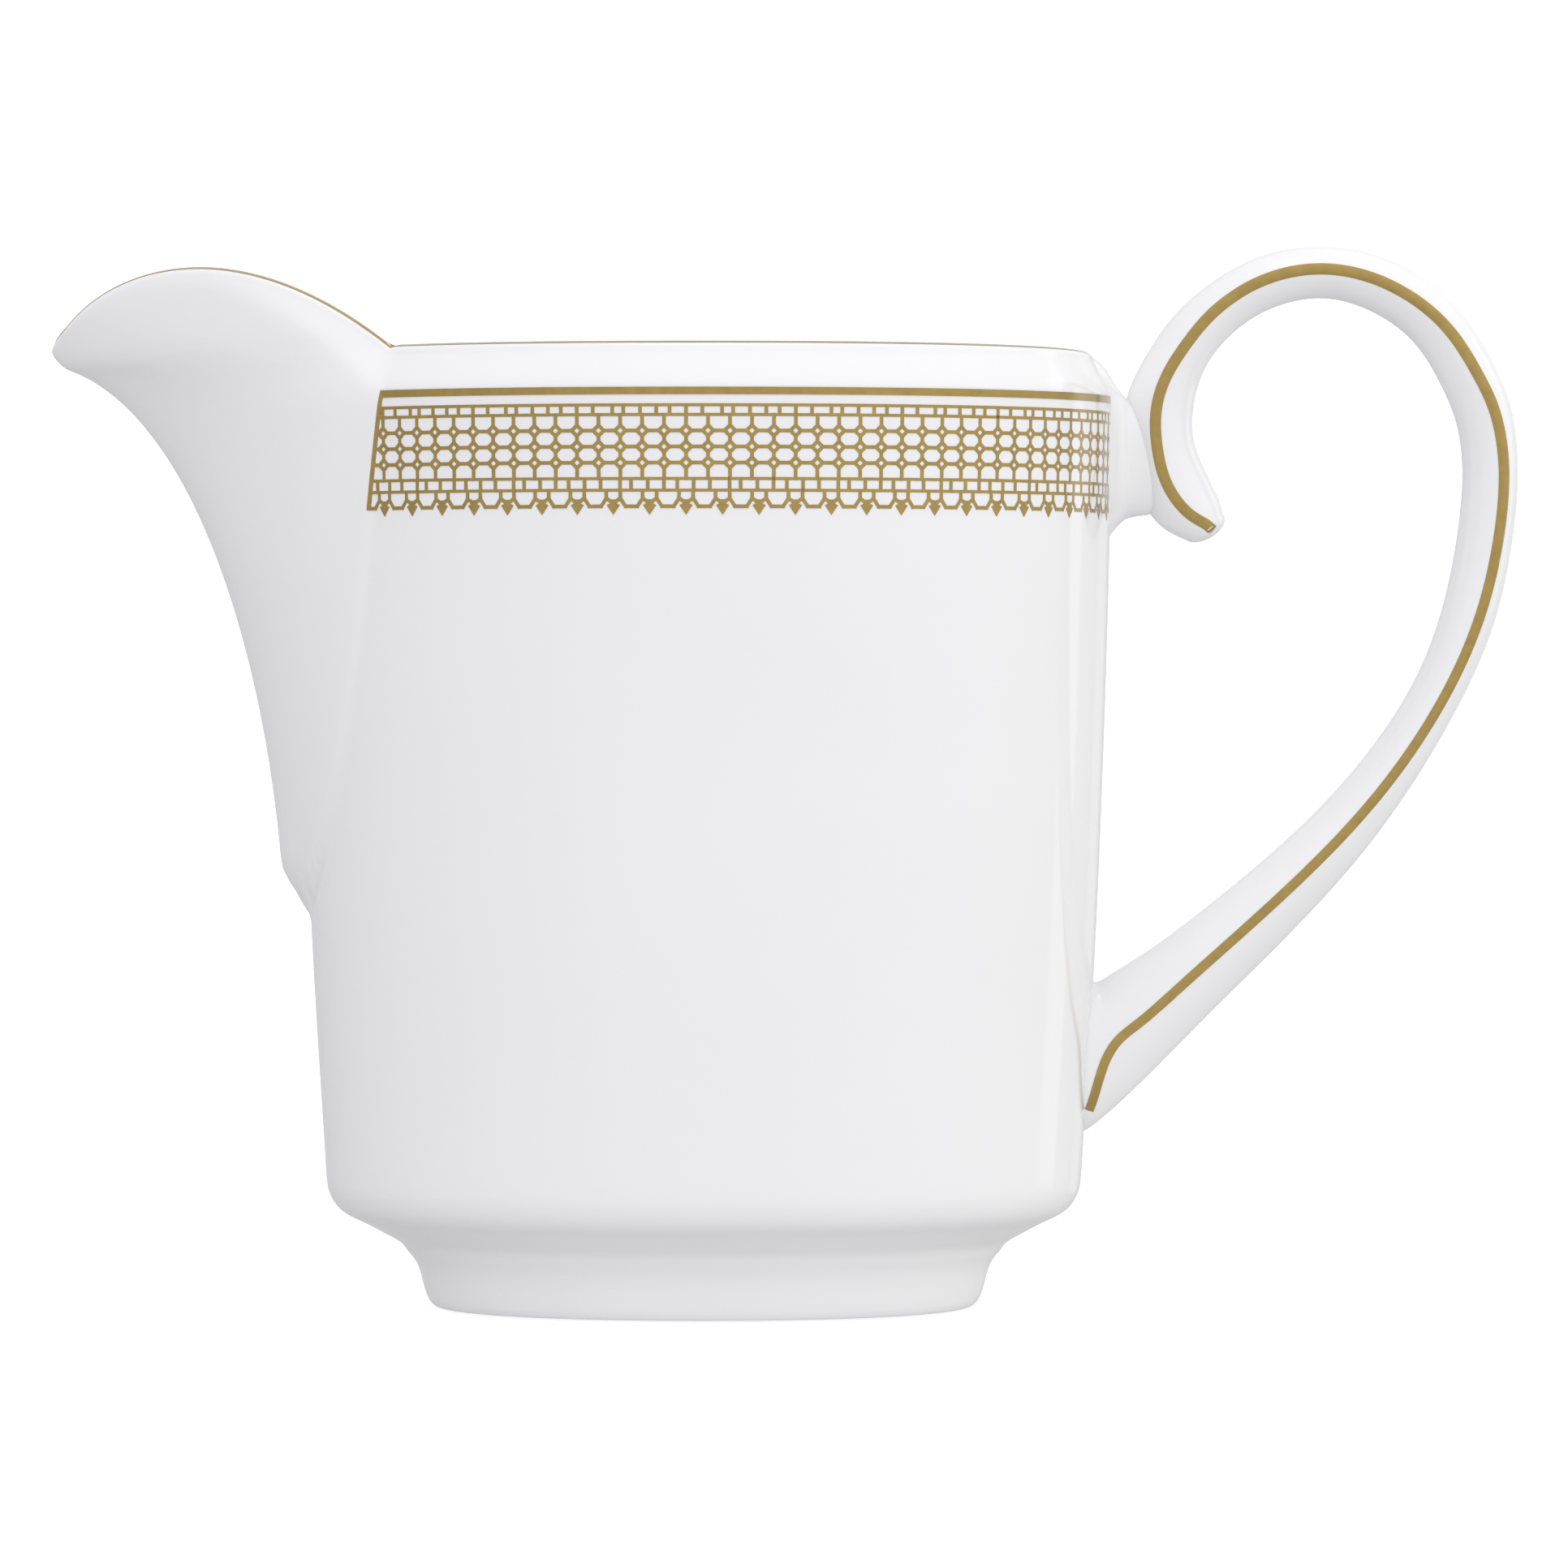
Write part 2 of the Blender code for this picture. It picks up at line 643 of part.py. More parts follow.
def make_lace_band(side):
    """Half of the gold lace: a film on the pot's wall, from the spout's seam to the handle."""
    name = f"lace_band_{side}"
    film_out = FILM_GAP + FILM_THICKNESS
    top = oval_half_length(BAND_TOP)
    bottom = oval_half_length(BAND_BOTTOM)
    profile = [(top + FILM_GAP, BAND_TOP), (top + film_out, BAND_TOP)]
    profile += [(bottom + film_out, BAND_BOTTOM), (bottom + FILM_GAP, BAND_BOTTOM)]
    band = add_object(name, turned_mesh(name, profile, True), JUG, GOLD)
    slope = (BAND_START_BOTTOM_REACH - BAND_START_TOP_REACH) / (BAND_TOP - BAND_BOTTOM)
    high_reach = BAND_START_TOP_REACH - slope
    low_reach = BAND_START_BOTTOM_REACH + slope
    outline = [(-high_reach, BAND_TOP + 1), (BIG, BAND_TOP + 1), (BIG, BAND_BOTTOM - 1)]
    outline.append((-low_reach, BAND_BOTTOM - 1))
    low, high = (-BIG, -BAND_END_DEPTH) if side == "near" else (BAND_END_DEPTH, BIG)
    combine(band, prism(f"{name} window", outline, low, high), "INTERSECT")
    return band


clear_scene()
JUG = new_collection("cream_jug")
CUTTERS = new_collection("cutters")
PORCELAIN = new_material("white porcelain", (0.86, 0.86, 0.87), 0.08, 0.0)
GOLD = new_material("burnished gold", (0.46, 0.34, 0.09), 0.25, 1.0)

AXIS = bpy.data.objects.new("jug_axis", None)
AXIS.location = (AXIS_SHIFT * MM, 0.0, 0.0)
JUG.objects.link(AXIS)

CHANNEL_TOP = max(point[1] for point in LIP) + 2 * SPOUT_TOP_MARGIN
CHANNEL_FORM = spout_form("spout channel", WALL_THICKNESS, MOUTH_BOTTOM, CHANNEL_TOP)
SPOUT_CHANNEL = as_guide(add_object("spout channel", CHANNEL_FORM, CUTTERS))

make_pot()
make_spout()
make_foot_ring()
make_handle()
make_upper_handle_joint()
make_lower_handle_joint()
make_rim_gilding()
make_lip_gilding()
for flank in ("near", "far"):
    make_lace_band(flank)
    make_handle_line(flank)
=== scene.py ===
"""A white porcelain cream jug with a gold lace band, gold edges and a gilded line on its handle."""
import math

import bpy
import numpy as np
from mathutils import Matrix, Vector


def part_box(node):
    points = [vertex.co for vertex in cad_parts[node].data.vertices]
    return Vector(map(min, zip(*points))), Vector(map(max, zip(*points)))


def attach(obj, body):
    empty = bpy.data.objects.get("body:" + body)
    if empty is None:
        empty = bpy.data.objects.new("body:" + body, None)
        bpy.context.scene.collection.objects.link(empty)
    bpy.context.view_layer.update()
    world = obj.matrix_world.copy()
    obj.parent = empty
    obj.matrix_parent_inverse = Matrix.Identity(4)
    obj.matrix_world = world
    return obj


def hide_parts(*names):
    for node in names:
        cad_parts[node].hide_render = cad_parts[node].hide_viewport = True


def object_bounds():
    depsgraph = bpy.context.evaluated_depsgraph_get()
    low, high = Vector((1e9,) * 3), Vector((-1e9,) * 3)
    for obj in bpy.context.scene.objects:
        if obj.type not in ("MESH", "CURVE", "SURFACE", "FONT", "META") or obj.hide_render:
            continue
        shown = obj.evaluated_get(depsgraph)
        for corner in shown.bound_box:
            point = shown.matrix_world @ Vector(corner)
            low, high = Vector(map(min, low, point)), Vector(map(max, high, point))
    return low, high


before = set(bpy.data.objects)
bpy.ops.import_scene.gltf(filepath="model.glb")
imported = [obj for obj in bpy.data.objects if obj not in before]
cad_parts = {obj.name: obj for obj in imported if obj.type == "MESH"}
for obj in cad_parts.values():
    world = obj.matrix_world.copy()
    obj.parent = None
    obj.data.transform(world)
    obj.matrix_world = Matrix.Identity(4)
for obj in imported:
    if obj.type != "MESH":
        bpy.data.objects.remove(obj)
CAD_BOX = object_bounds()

bl_info = {
    "name": "Porcelain cream jug",
    "version": (1, 0, 0),
    "blender": (4, 5, 0),
    "location": "3D View > Sidebar > Jug",
    "description": "Makes a white porcelain cream jug with gold lace from its packed solids",
    "category": "Object",
}

# Shapes are worked out in millimetres from the pot's own upright axis and the table, with the
# first coordinate running out to the handle and away from the spout.
MM = 0.001
FOOT_LOW, FOOT_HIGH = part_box("foot_ring")
POT_LOW, POT_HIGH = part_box("pot")
SPOUT_LOW, SPOUT_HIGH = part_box("spout")
HANDLE_LOW, HANDLE_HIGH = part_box("handle")
BAND_LOW, BAND_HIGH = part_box("lace_band_near")
AXIS_X = (FOOT_LOW.x + FOOT_HIGH.x) / 2
RIM_HEIGHT = POT_HIGH.z / MM
FOOT_HALF_LENGTH = (FOOT_HIGH.x - FOOT_LOW.x) / 2 / MM
SPOUT_REACH = (AXIS_X - SPOUT_LOW.x) / MM
HANDLE_REACH = (HANDLE_HIGH.x - AXIS_X) / MM
HANDLE_TOP = HANDLE_HIGH.z / MM
BAND_TOP = BAND_HIGH.z / MM
BAND_BOTTOM = BAND_LOW.z / MM

# The pot is a rounded oval seen from above.
OVAL_RATIO = 0.78
OVAL_EXPONENT = 2.2
BODY_COLUMNS = 440
SPOUT_CROWDING = 0.4

# Half length and height along the foot and the shoulder, from the table upwards.
FOOT_PROFILE = (
    (25.2, 0.0), (26.0, 0.1), (26.5, 0.55), (26.8, 1.1), (27.1, 2.0), (27.5, 3.5), (27.9, 4.4),
    (28.6, 5.3), (29.45, 6.3), (31.0, 7.2), (32.9, 8.2), (34.7, 9.1), (35.7, 10.05),
    (36.3, 11.3), (36.5, 12.6),
)
WALL_PROFILE = ((36.5, 12.6), (37.9, 36.0), (38.9, 62.0), (39.5, 88.0), (39.6, 104.0))
RECESS_PROFILE = ((0.0, 5.3), (14.0, 5.3), (20.0, 5.1), (21.6, 4.2), (21.9, 2.0), (22.2, 0.6), (23.2, 0.0))
FLOOR_HEIGHT = 7.7
INNER_CORNER = 7.0

# Reach and height of the spout's keel and of its lip, from the pot out to the tip.
KEEL = ((40.8, 41.6), (42.5, 64.1), (49.8, 86.2), (61.3, 90.35))
KEEL_TIP = ((61.3, 90.35), (62.4, 90.8), (63.1, 91.9), (63.45, 93.0))
KEEL_BEYOND = ((63.45, 93.0), (64.6, 95.2), (66.4, 98.0), (67.2, 104.0))
FLANK_BEYOND = ((61.3, 90.35), (65.2, 91.8), (67.2, 95.5), (68.0, 104.0))
TIP_POWER = 7
LIP = ((29.4, 92.2), (43.6, 103.5), (56.7, 100.7), (63.2, 92.9))
SPOUT_FOOT = 37.0
SPOUT_STEP = 43.0
SEAM_TOP = 93.0
SEAM_HALF_WIDTH = 21.5
SEAM_TAPER = 4.5
SEAM_CLOSING = 6.0
SEAM_CLOSING_START = 86.0
BEAK_TAPER = 0.4
BEAK_ROUND = 0.5
BEAK_POINTED = 0.75
SEAM_BLEND = 1.6
SEAM_BEHIND = -0.4
SEAM_FADE = 14.0

BEVEL_HEIGHT = 4.2
LIP_BEVEL_HEIGHT = 1.3
TIP_BEVEL_HEIGHT = 0.4
BEVEL_SLOPE = 0.56
BEVEL_SOFTNESS = 0.4
CROWN_HEIGHT = 0.8

# The handle's sections: the outer and the inner edge seen from the side, half the depth, the place
# of the ridge and of the gold line between the edges, and how sharp the ridge is.
HANDLE_SECTIONS = (
    ((36.1, 16.5), (36.4, 32.6), 5.6, 0.50, 0.02, 2.0),
    ((37.3, 17.1), (37.2, 31.6), 4.9, 0.50, 0.14, 1.9),
    ((38.7, 18.2), (38.0, 31.2), 4.5, 0.50, 0.40, 1.7),
    ((40.6, 19.9), (39.3, 32.0), 4.3, 0.50, 0.50, 1.5),
    ((43.8, 23.0), (41.2, 33.2), 4.2, 0.49, 0.48, 1.4),
    ((49.6, 28.9), (44.6, 35.4), 4.1, 0.49, 0.49, 1.35),
    ((56.8, 36.0), (51.6, 40.9), 4.0, 0.49, 0.49, 1.35),
    ((63.2, 43.0), (58.5, 47.0), 3.9, 0.47, 0.47, 1.35),
    ((68.4, 50.1), (63.9, 53.0), 3.8, 0.42, 0.42, 1.35),
    ((72.6, 57.2), (68.3, 59.5), 3.7, 0.38, 0.38, 1.35),
    ((75.9, 64.2), (71.0, 65.9), 3.7, 0.35, 0.35, 1.35),
    ((77.8, 71.3), (72.6, 72.8), 3.6, 0.31, 0.31, 1.35),
    ((78.8, 79.6), (73.4, 79.8), 3.6, 0.30, 0.30, 1.35),
    ((78.3, 85.9), (72.9, 84.9), 3.6, 0.34, 0.34, 1.35),
    ((76.8, 90.2), (71.5, 88.5), 3.6, 0.39, 0.39, 1.35),
    ((73.1, 96.4), (68.7, 93.3), 3.6, 0.43, 0.43, 1.35),
    ((66.5, 101.2), (64.1, 96.4), 3.6, 0.47, 0.47, 1.35),
    ((59.2, 102.5), (59.4, 97.5), 3.6, 0.46, 0.46, 1.35),
    ((52.8, 101.2), (54.7, 96.4), 3.6, 0.46, 0.46, 1.35),
    ((47.8, 98.0), (51.3, 94.2), 3.6, 0.46, 0.46, 1.35),
    ((44.7, 94.9), (49.0, 91.6), 3.6, 0.49, 0.49, 1.35),
    ((42.0, 90.6), (47.75, 88.9), 3.6, 0.44, 0.44, 1.4),
    ((40.6, 87.0), (47.25, 86.0), 3.6, 0.44, 0.44, 1.45),
    ((40.8, 83.4), (47.4, 83.3), 3.6, 0.42, 0.42, 1.45),
    ((41.6, 79.4), (48.5, 80.7), 3.5, 0.39, 0.39, 1.45),
    ((43.1, 76.5), (49.4, 78.8), 3.3, 0.42, 0.42, 1.5),
    ((44.7, 74.9), (50.0, 77.5), 3.1, 0.46, 0.47, 1.6),
    ((46.6, 74.0), (50.15, 76.6), 2.7, 0.50, 0.54, 1.7),
)
SCROLL_END = 1.3
HANDLE_RING = 56
HANDLE_SPAN_STEPS = 8
EVEN_REACH = 7
LINE_WIDTH = 1.1
LINE_NARROWING = ((0.0, 0.82), (0.3, 0.88), (0.5, 1.0), (0.7, 1.0), (1.0, 0.95))
LINE_START = 7.0
LINE_STOP = 5.0
RIDGE_SOFTNESS = 0.14

# Width and height of the lug, with its depth, between the wall and the scroll.
LUG_SECTIONS = (
    (36.6, 72.3, 92.0, 9.0),
    (37.5, 72.7, 91.7, 7.9),
    (38.3, 73.4, 91.1, 6.9),
    (38.9, 73.9, 90.4, 6.1),
    (39.4, 74.6, 89.6, 5.2),
    (39.9, 75.2, 88.8, 4.5),
    (40.5, 75.8, 88.1, 4.0),
    (41.0, 76.1, 87.6, 3.6),
    (42.0, 76.3, 87.4, 3.3),
    (43.4, 76.6, 87.4, 3.1),
    (45.2, 78.0, 87.0, 2.4),
)

# How much brighter the studio's air is towards the handle, the front and the top.
AIR_LEAN = (0.155, -0.185, 0.30)

# The lace band, from the gold rule down to the pendants.
REPEAT = 10.2
RULE_STEPS = 90
LACE_SHIFT = -1.35
LATTICE_COLUMNS = 5
LATTICE_HALF = 2.98
DIAMOND = 0.5
BRICKS = (1.51, 1.83, 1.03, 1.56, 1.51, 1.24, 1.52)
THREAD = 0.34
EDGE_THREAD = 0.18
BAND_START_TOP = 29.9
BAND_START_BOTTOM = 31.3
BAND_END_DEPTH = 5.5
FILM = 0.035
FILM_ROOT = 0.05
LIFT_STEP = 0.0011
LIFT_LEVELS = 7
GILDING_CORNER = 50


# ---- shapes shared by the pieces ----


def smooth_step(value):
    share = np.clip(value, 0.0, 1.0)
    return share * share * (3.0 - 2.0 * share)


def bezier(points, share):
    """A cubic Bezier curve: each corner weighted by the share run and the share left."""
    corners = np.array(points)
    share = np.asarray(share)[..., None]
    left = 1.0 - share
    return (corners[0] * left**3 + corners[1] * 3 * left**2 * share
            + corners[2] * 3 * left * share**2 + corners[3] * share**3)


def smooth_path(knots, steps):
    """A Catmull-Rom curve: between two knots a cubic that leaves along the line of their neighbours."""
    knots = np.array(knots, dtype=float)
    ends = np.vstack([2 * knots[0] - knots[1], knots, 2 * knots[-1] - knots[-2]])
    a, b, c, d = ends[:-3, None], ends[1:-2, None], ends[2:-1, None], ends[3:, None]
    t = (np.arange(steps) / steps)[None, :, None]
    curve = 0.5 * (2 * b + (c - a) * t + (2 * a - 5 * b + 4 * c - d) * t**2
                   + (3 * b - a - 3 * c + d) * t**3)
    return np.vstack([curve.reshape(-1, knots.shape[1]), knots[-1:]])


def place(x, y, z):
    """Points in millimetres from the pot's axis, put into the frame in metres."""
    points = np.stack(np.broadcast_arrays(x, y, z), axis=-1).reshape(-1, 3) * MM
    points[:, 0] += AXIS_X
    return points


def grid_faces(rows, columns, closed_rows=False, closed_columns=True):
    """Four-sided faces of a grid of rows by columns, joined up across the closed edges."""
    i = np.arange(rows if closed_rows else rows - 1)[:, None]
    j = np.arange(columns if closed_columns else columns - 1)[None, :]
    after_i = (i + 1) % rows
    after_j = (j + 1) % columns
    corners = [i * columns + j, i * columns + after_j, after_i * columns + after_j, after_i * columns + j]
    return np.stack(corners, axis=-1).reshape(-1, 4)


def fan_faces(pole, ring, inward):
    """Triangles that close a ring of points onto one pole."""
    after = np.roll(ring, -1)
    poles = np.full(len(ring), pole)
    pair = (after, ring) if inward else (ring, after)
    return np.stack([poles, *pair], axis=-1)


def make_piece(name, points, faces, material, sharp_degrees=0):
    """A smooth mesh piece from points in metres and arrays of faces, put on the jug's one body."""
    mesh = bpy.data.meshes.new(name)
    mesh.from_pydata(points, [], [tuple(face) for block in faces for face in block.tolist()])
    mesh.update()
    mesh.shade_smooth()
    if sharp_degrees:
        mesh.set_sharp_from_angle(angle=math.radians(sharp_degrees))
    mesh.materials.append(material)
    piece = bpy.data.objects.new(name, mesh)
    bpy.context.scene.collection.objects.link(piece)
    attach(piece, "root")
    return piece


# ---- the pot and its spout ----


def oval_reach(angle):
    """How far the oval reaches at an angle from the spout, as a share of its half length."""
    along = np.abs(np.cos(angle)) ** OVAL_EXPONENT
    across = (np.abs(np.sin(angle)) / OVAL_RATIO) ** OVAL_EXPONENT
    return (along + across) ** (-1.0 / OVAL_EXPONENT)


WALL_CURVE = smooth_path(WALL_PROFILE, 12)
KEEL_CURVE = np.vstack([bezier(KEEL, np.linspace(0, 1, 80)), bezier(KEEL_TIP, np.linspace(0, 1, 20))[1:],
                        bezier(KEEL_BEYOND, np.linspace(0, 1, 20))[1:]])
FLANK_CURVE = np.vstack([bezier(KEEL, np.linspace(0, 1, 80)),
                         bezier(FLANK_BEYOND, np.linspace(0, 1, 40))[1:]])
LIP_CURVE = bezier(LIP, np.linspace(0, 1, 200))


def wall_half_length(height):
    return np.interp(height, WALL_CURVE[:, 1], WALL_CURVE[:, 0])


def keel_reach(height, curve):
    """The keel's reach at a height, fading into the wall over the spout's foot."""
    reach = np.interp(height, curve[:, 1], curve[:, 0])
    wall = wall_half_length(height)
    fade = smooth_step((height - SPOUT_FOOT) / (SPOUT_STEP - SPOUT_FOOT))
    return wall + (reach - wall) * fade


def spout_radius(angle, height):
    """Distance from the axis to the spout at an angle and height, found by halving.

    A level section runs from its seam on the oval (share 0) to the keel (share 1), and its half
    width is the seam's, times a taper, times the fall of an arch that is round below and pointed above.
    The flanks aim at a keel without the tip's rounding, and a high power of the share takes that back.
    """
    sunk = np.clip((SEAM_TOP - height) / (SEAM_TOP - SPOUT_FOOT - 1.5), 0.0, 1.0)
    half_width = (SEAM_HALF_WIDTH - SEAM_TAPER * sunk) * np.cbrt(1 - sunk**3)
    half_width = half_width - 1.2 * smooth_step((height - SEAM_CLOSING_START) / SEAM_CLOSING)
    wall = wall_half_length(height)
    across = np.clip(half_width / (wall * OVAL_RATIO), 0.0, 0.999)
    seam = wall * (1 - across**OVAL_EXPONENT) ** (1 / OVAL_EXPONENT)
    flank = keel_reach(height, FLANK_CURVE) - seam
    rounding = seam + flank - keel_reach(height, KEEL_CURVE)
    bow = BEAK_ROUND + (BEAK_POINTED - BEAK_ROUND) * smooth_step((height - 70.0) / 22.0)
    side, ahead = np.abs(np.sin(angle)), np.cos(angle)
    low = np.full(np.shape(side + height), SEAM_BEHIND)
    high = np.ones_like(low)
    for _ in range(34):
        share = (low + high) / 2
        width = half_width * (1 - BEAK_TAPER * share) * (1 - share**2) ** bow
        reach = seam + flank * share - rounding * np.maximum(share, 0.0) ** TIP_POWER
        outside = width * ahead - reach * side > 0
        low = np.where(outside, share, low)
        high = np.where(outside, high, share)
    reach = seam + flank * low - rounding * np.maximum(low, 0.0) ** TIP_POWER
    width = half_width * (1 - BEAK_TAPER * low) * (1 - low**2) ** bow
    found = (low > SEAM_BEHIND + 0.001) & (ahead > 0)
    sunk_in = SEAM_FADE * (1 - smooth_step((low - SEAM_BEHIND) / -SEAM_BEHIND))
    return np.where(found, np.hypot(reach, width) - sunk_in, 0.0)


def outside_radius(angle, height, blend):
    """The larger of the oval's and the spout's radius, with the crease between them rounded off."""
    pot = oval_reach(angle) * wall_half_length(height)
    spout = spout_radius(angle, height)
    near = np.maximum(blend - np.abs(pot - spout), 0.0) / blend
    return np.maximum(pot, spout) + near**2 * blend / 4


def bevel_height(reach):
    """Height of the sloping strip under the edge: tall round the neck, low along the lip."""
    height = BEVEL_HEIGHT - (BEVEL_HEIGHT - LIP_BEVEL_HEIGHT) * np.clip((reach - 30.0) / 17.0, 0.0, 1.0)
    return height - (LIP_BEVEL_HEIGHT - TIP_BEVEL_HEIGHT) * smooth_step((reach - 52.0) / 11.0)


def bevel_inset(down, height):
    """How far the sloping strip leans in at a distance below the edge: a softened corner."""
    bend = (height - down) / BEVEL_SOFTNESS
    return BEVEL_SLOPE * BEVEL_SOFTNESS * np.logaddexp(0.0, bend)


def top_height(reach):
    """Height of the edge over a reach towards the spout: level round the rim, then the lip's curve."""
    return np.interp(reach, LIP_CURVE[:, 0], LIP_CURVE[:, 1], left=RIM_HEIGHT)


def edge_of(angle):
    """Height of the edge at each angle, by halving: the rim's height, or the lip's over the spout."""
    low = np.full_like(angle, 85.0)
    high = np.full_like(angle, 105.0)
    for _ in range(26):
        height = (low + high) / 2
        reach = outside_radius(angle, height, SEAM_BLEND) * np.cos(angle)
        reach = reach - bevel_inset(0.0, bevel_height(reach)) * np.cos(angle)
        top = top_height(reach)
        low = np.where(height < top, height, low)
        high = np.where(height < top, high, height)
    return low


def wall_radius(angle, height, edge, blend, softness=1.0):
    """The outside with its bevelled strip under the edge."""
    radius = outside_radius(angle, height, blend)
    reach = outside_radius(angle, edge, blend) * np.cos(angle)
    strip = bevel_height(reach)
    return radius - bevel_inset((edge - height) * softness, strip * softness) / softness


def body_angles():
    """Angles round the pot from the spout, closer together over the spout."""
    turn = np.arange(BODY_COLUMNS) / BODY_COLUMNS * math.tau
    return turn - SPOUT_CROWDING * np.sin(turn)


def inside_radius(angle, height, edge, thickness):
    """The wall's inside: the outside less the thickness measured square to the surface."""
    step, tilt = 0.3, 0.004
    blend = 4.0
    middle = wall_radius(angle, height, edge, blend)
    rise = (wall_radius(angle, height + step, edge, blend) - wall_radius(angle, height - step, edge, blend))
    turn = (wall_radius(angle + tilt, height, edge, blend) - wall_radius(angle - tilt, height, edge, blend))
    slope = np.sqrt(1 + (rise / (2 * step)) ** 2 + (turn / (2 * tilt * middle)) ** 2)
    return middle - thickness * np.minimum(slope, 3.2)


def inner_edge(angle, edge, thickness):
    """Radius and height of the inside's top, found by going back and forth between the two."""
    start = edge - CROWN_HEIGHT
    for _ in range(12):
        radius = inside_radius(angle, start, edge, thickness)
        start = (start + top_height(radius * np.cos(angle)) - CROWN_HEIGHT) / 2
    return radius, start


def crown(angle, edge, share, thickness, lift=0.0):
    """Round top of the wall, from its outside (share 0) over to its inside (share 1): the height is
    the edge's over the same reach, less the crown's own height, plus that times a sine."""
    outer = wall_radius(angle, edge - CROWN_HEIGHT, edge, SEAM_BLEND)
    inner, inner_start = inner_edge(angle, edge, thickness)
    turn = share * math.pi
    part = (1 - np.cos(turn)) / 2
    radius = outer + (inner - outer) * part
    ground = top_height(radius * np.cos(angle)) - CROWN_HEIGHT
    ground = ground + (edge - CROWN_HEIGHT - top_height(outer * np.cos(angle)) + CROWN_HEIGHT) * (1 - part)
    ground = ground + (inner_start - top_height(inner * np.cos(angle)) + CROWN_HEIGHT) * part
    radius = radius + lift * np.cos(turn)
    height = ground + (CROWN_HEIGHT + lift) * np.sin(turn) ** 0.8
    return radius, height


def make_body(material, thickness):
    """The pot, spout and foot as one closed surface: rows of rings from under the foot, up the outside,
    over the edge and down the inside, each ring a radius and a height as functions of the angle."""
    angle = body_angles()[None, :]
    edge = edge_of(angle)
    oval = oval_reach(angle)
    recess = smooth_path(RECESS_PROFILE[1:], 3)
    foot = smooth_path(FOOT_PROFILE, 4)[:-1]
    lower = np.vstack([[[7.0, 5.3]], recess, foot])
    radii = [lower[:, :1] * oval]
    heights = [lower[:, 1:] + 0.0 * angle]

    wall_end = WALL_PROFILE[0][1]
    share = np.linspace(0, 1, 62)[:-1, None]
    strip_start = edge - 8.0
    height = wall_end + (strip_start - wall_end) * share
    radii.append(wall_radius(angle, height, edge, SEAM_BLEND))
    heights.append(height)
    share = np.linspace(0, 1, 27)[:-1, None]
    height = strip_start + (edge - CROWN_HEIGHT - strip_start) * share
    radii.append(wall_radius(angle, height, edge, SEAM_BLEND))
    heights.append(height)

    radius, height = crown(angle, edge, np.linspace(0, 1, 11)[:, None], thickness)
    radii.append(radius)
    heights.append(height)

    inner_start = inner_edge(angle, edge, thickness)[1]
    strip_end = edge - 9.0
    share = np.linspace(0, 1, 15)[1:, None]
    height = inner_start + (strip_end - inner_start) * share
    radii.append(inside_radius(angle, height, edge, thickness))
    heights.append(height)
    share = np.linspace(0, 1, 42)[1:, None]
    corner = FLOOR_HEIGHT + INNER_CORNER
    height = strip_end + (corner - strip_end) * share
    radii.append(inside_radius(angle, height, edge, thickness))
    heights.append(height)
    turn = np.linspace(0, math.pi / 2, 10)[1:, None]
    inner = (wall_half_length(corner) - thickness) * oval
    radii.append(inner - INNER_CORNER * (1 - np.cos(turn)))
    heights.append(corner - INNER_CORNER * np.sin(turn) + 0.0 * angle)
    floor = (inner - INNER_CORNER) * np.array([0.75, 0.5, 0.25])[:, None]
    radii.append(floor)
    heights.append(FLOOR_HEIGHT + 0.0 * floor)

    radius = np.vstack(radii)
    height = np.vstack(heights)
    points = place(-radius * np.cos(angle), -radius * np.sin(angle), height)
    rows, columns = radius.shape
    points = np.vstack([points, place(0.0, 0.0, RECESS_PROFILE[0][1]), place(0.0, 0.0, FLOOR_HEIGHT)])
    ring = np.arange(columns)
    faces = [
        grid_faces(rows, columns),
        fan_faces(rows * columns, ring, True),
        fan_faces(rows * columns + 1, ring + (rows - 1) * columns, False),
    ]
    piece = make_piece("pot_with_spout_and_foot", points, faces, material)
    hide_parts("pot", "spout", "foot_ring")
    return piece


def make_edge_gilding(name, node, over_spout, material, thickness, reach):
    """A film over the crown: an outer and an inner skin of the same arch, joined round its border."""
    angle = body_angles()
    edge = edge_of(angle)
    seam = edge > RIM_HEIGHT + 0.05
    keep = seam if over_spout else ~(seam & np.roll(seam, 1) & np.roll(seam, -1))
    angle = np.where(angle > math.pi, angle - math.tau, angle) if over_spout else angle
    order = np.argsort(angle[keep])
    angle = angle[keep][order][None, :]
    edge = edge[keep][order][None, :]
    share = np.linspace(reach[0], reach[1], 15)[:, None]
    outer = crown(angle, edge, share, thickness, FILM)
    inner = crown(angle, edge, share[::-1], thickness, -FILM_ROOT)
    radius = np.vstack([outer[0], inner[0]])
    height = np.vstack([outer[1], inner[1]])
    rows, columns = radius.shape
    points = place(-radius * np.cos(angle), -radius * np.sin(angle), height)
    faces = [grid_faces(rows, columns, closed_rows=True, closed_columns=False)]
    first = np.arange(rows) * columns
    half = rows // 2
    left = np.stack([first[:half - 1], first[1:half], first[rows - 2:half - 1:-1], first[:half - 1:-1][:half - 1]], axis=-1)
    faces.append(left)
    faces.append(left[:, ::-1] + columns - 1)
    piece = make_piece(name, points, faces, material, GILDING_CORNER)
    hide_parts(node)
    return piece


# ---- the handle ----


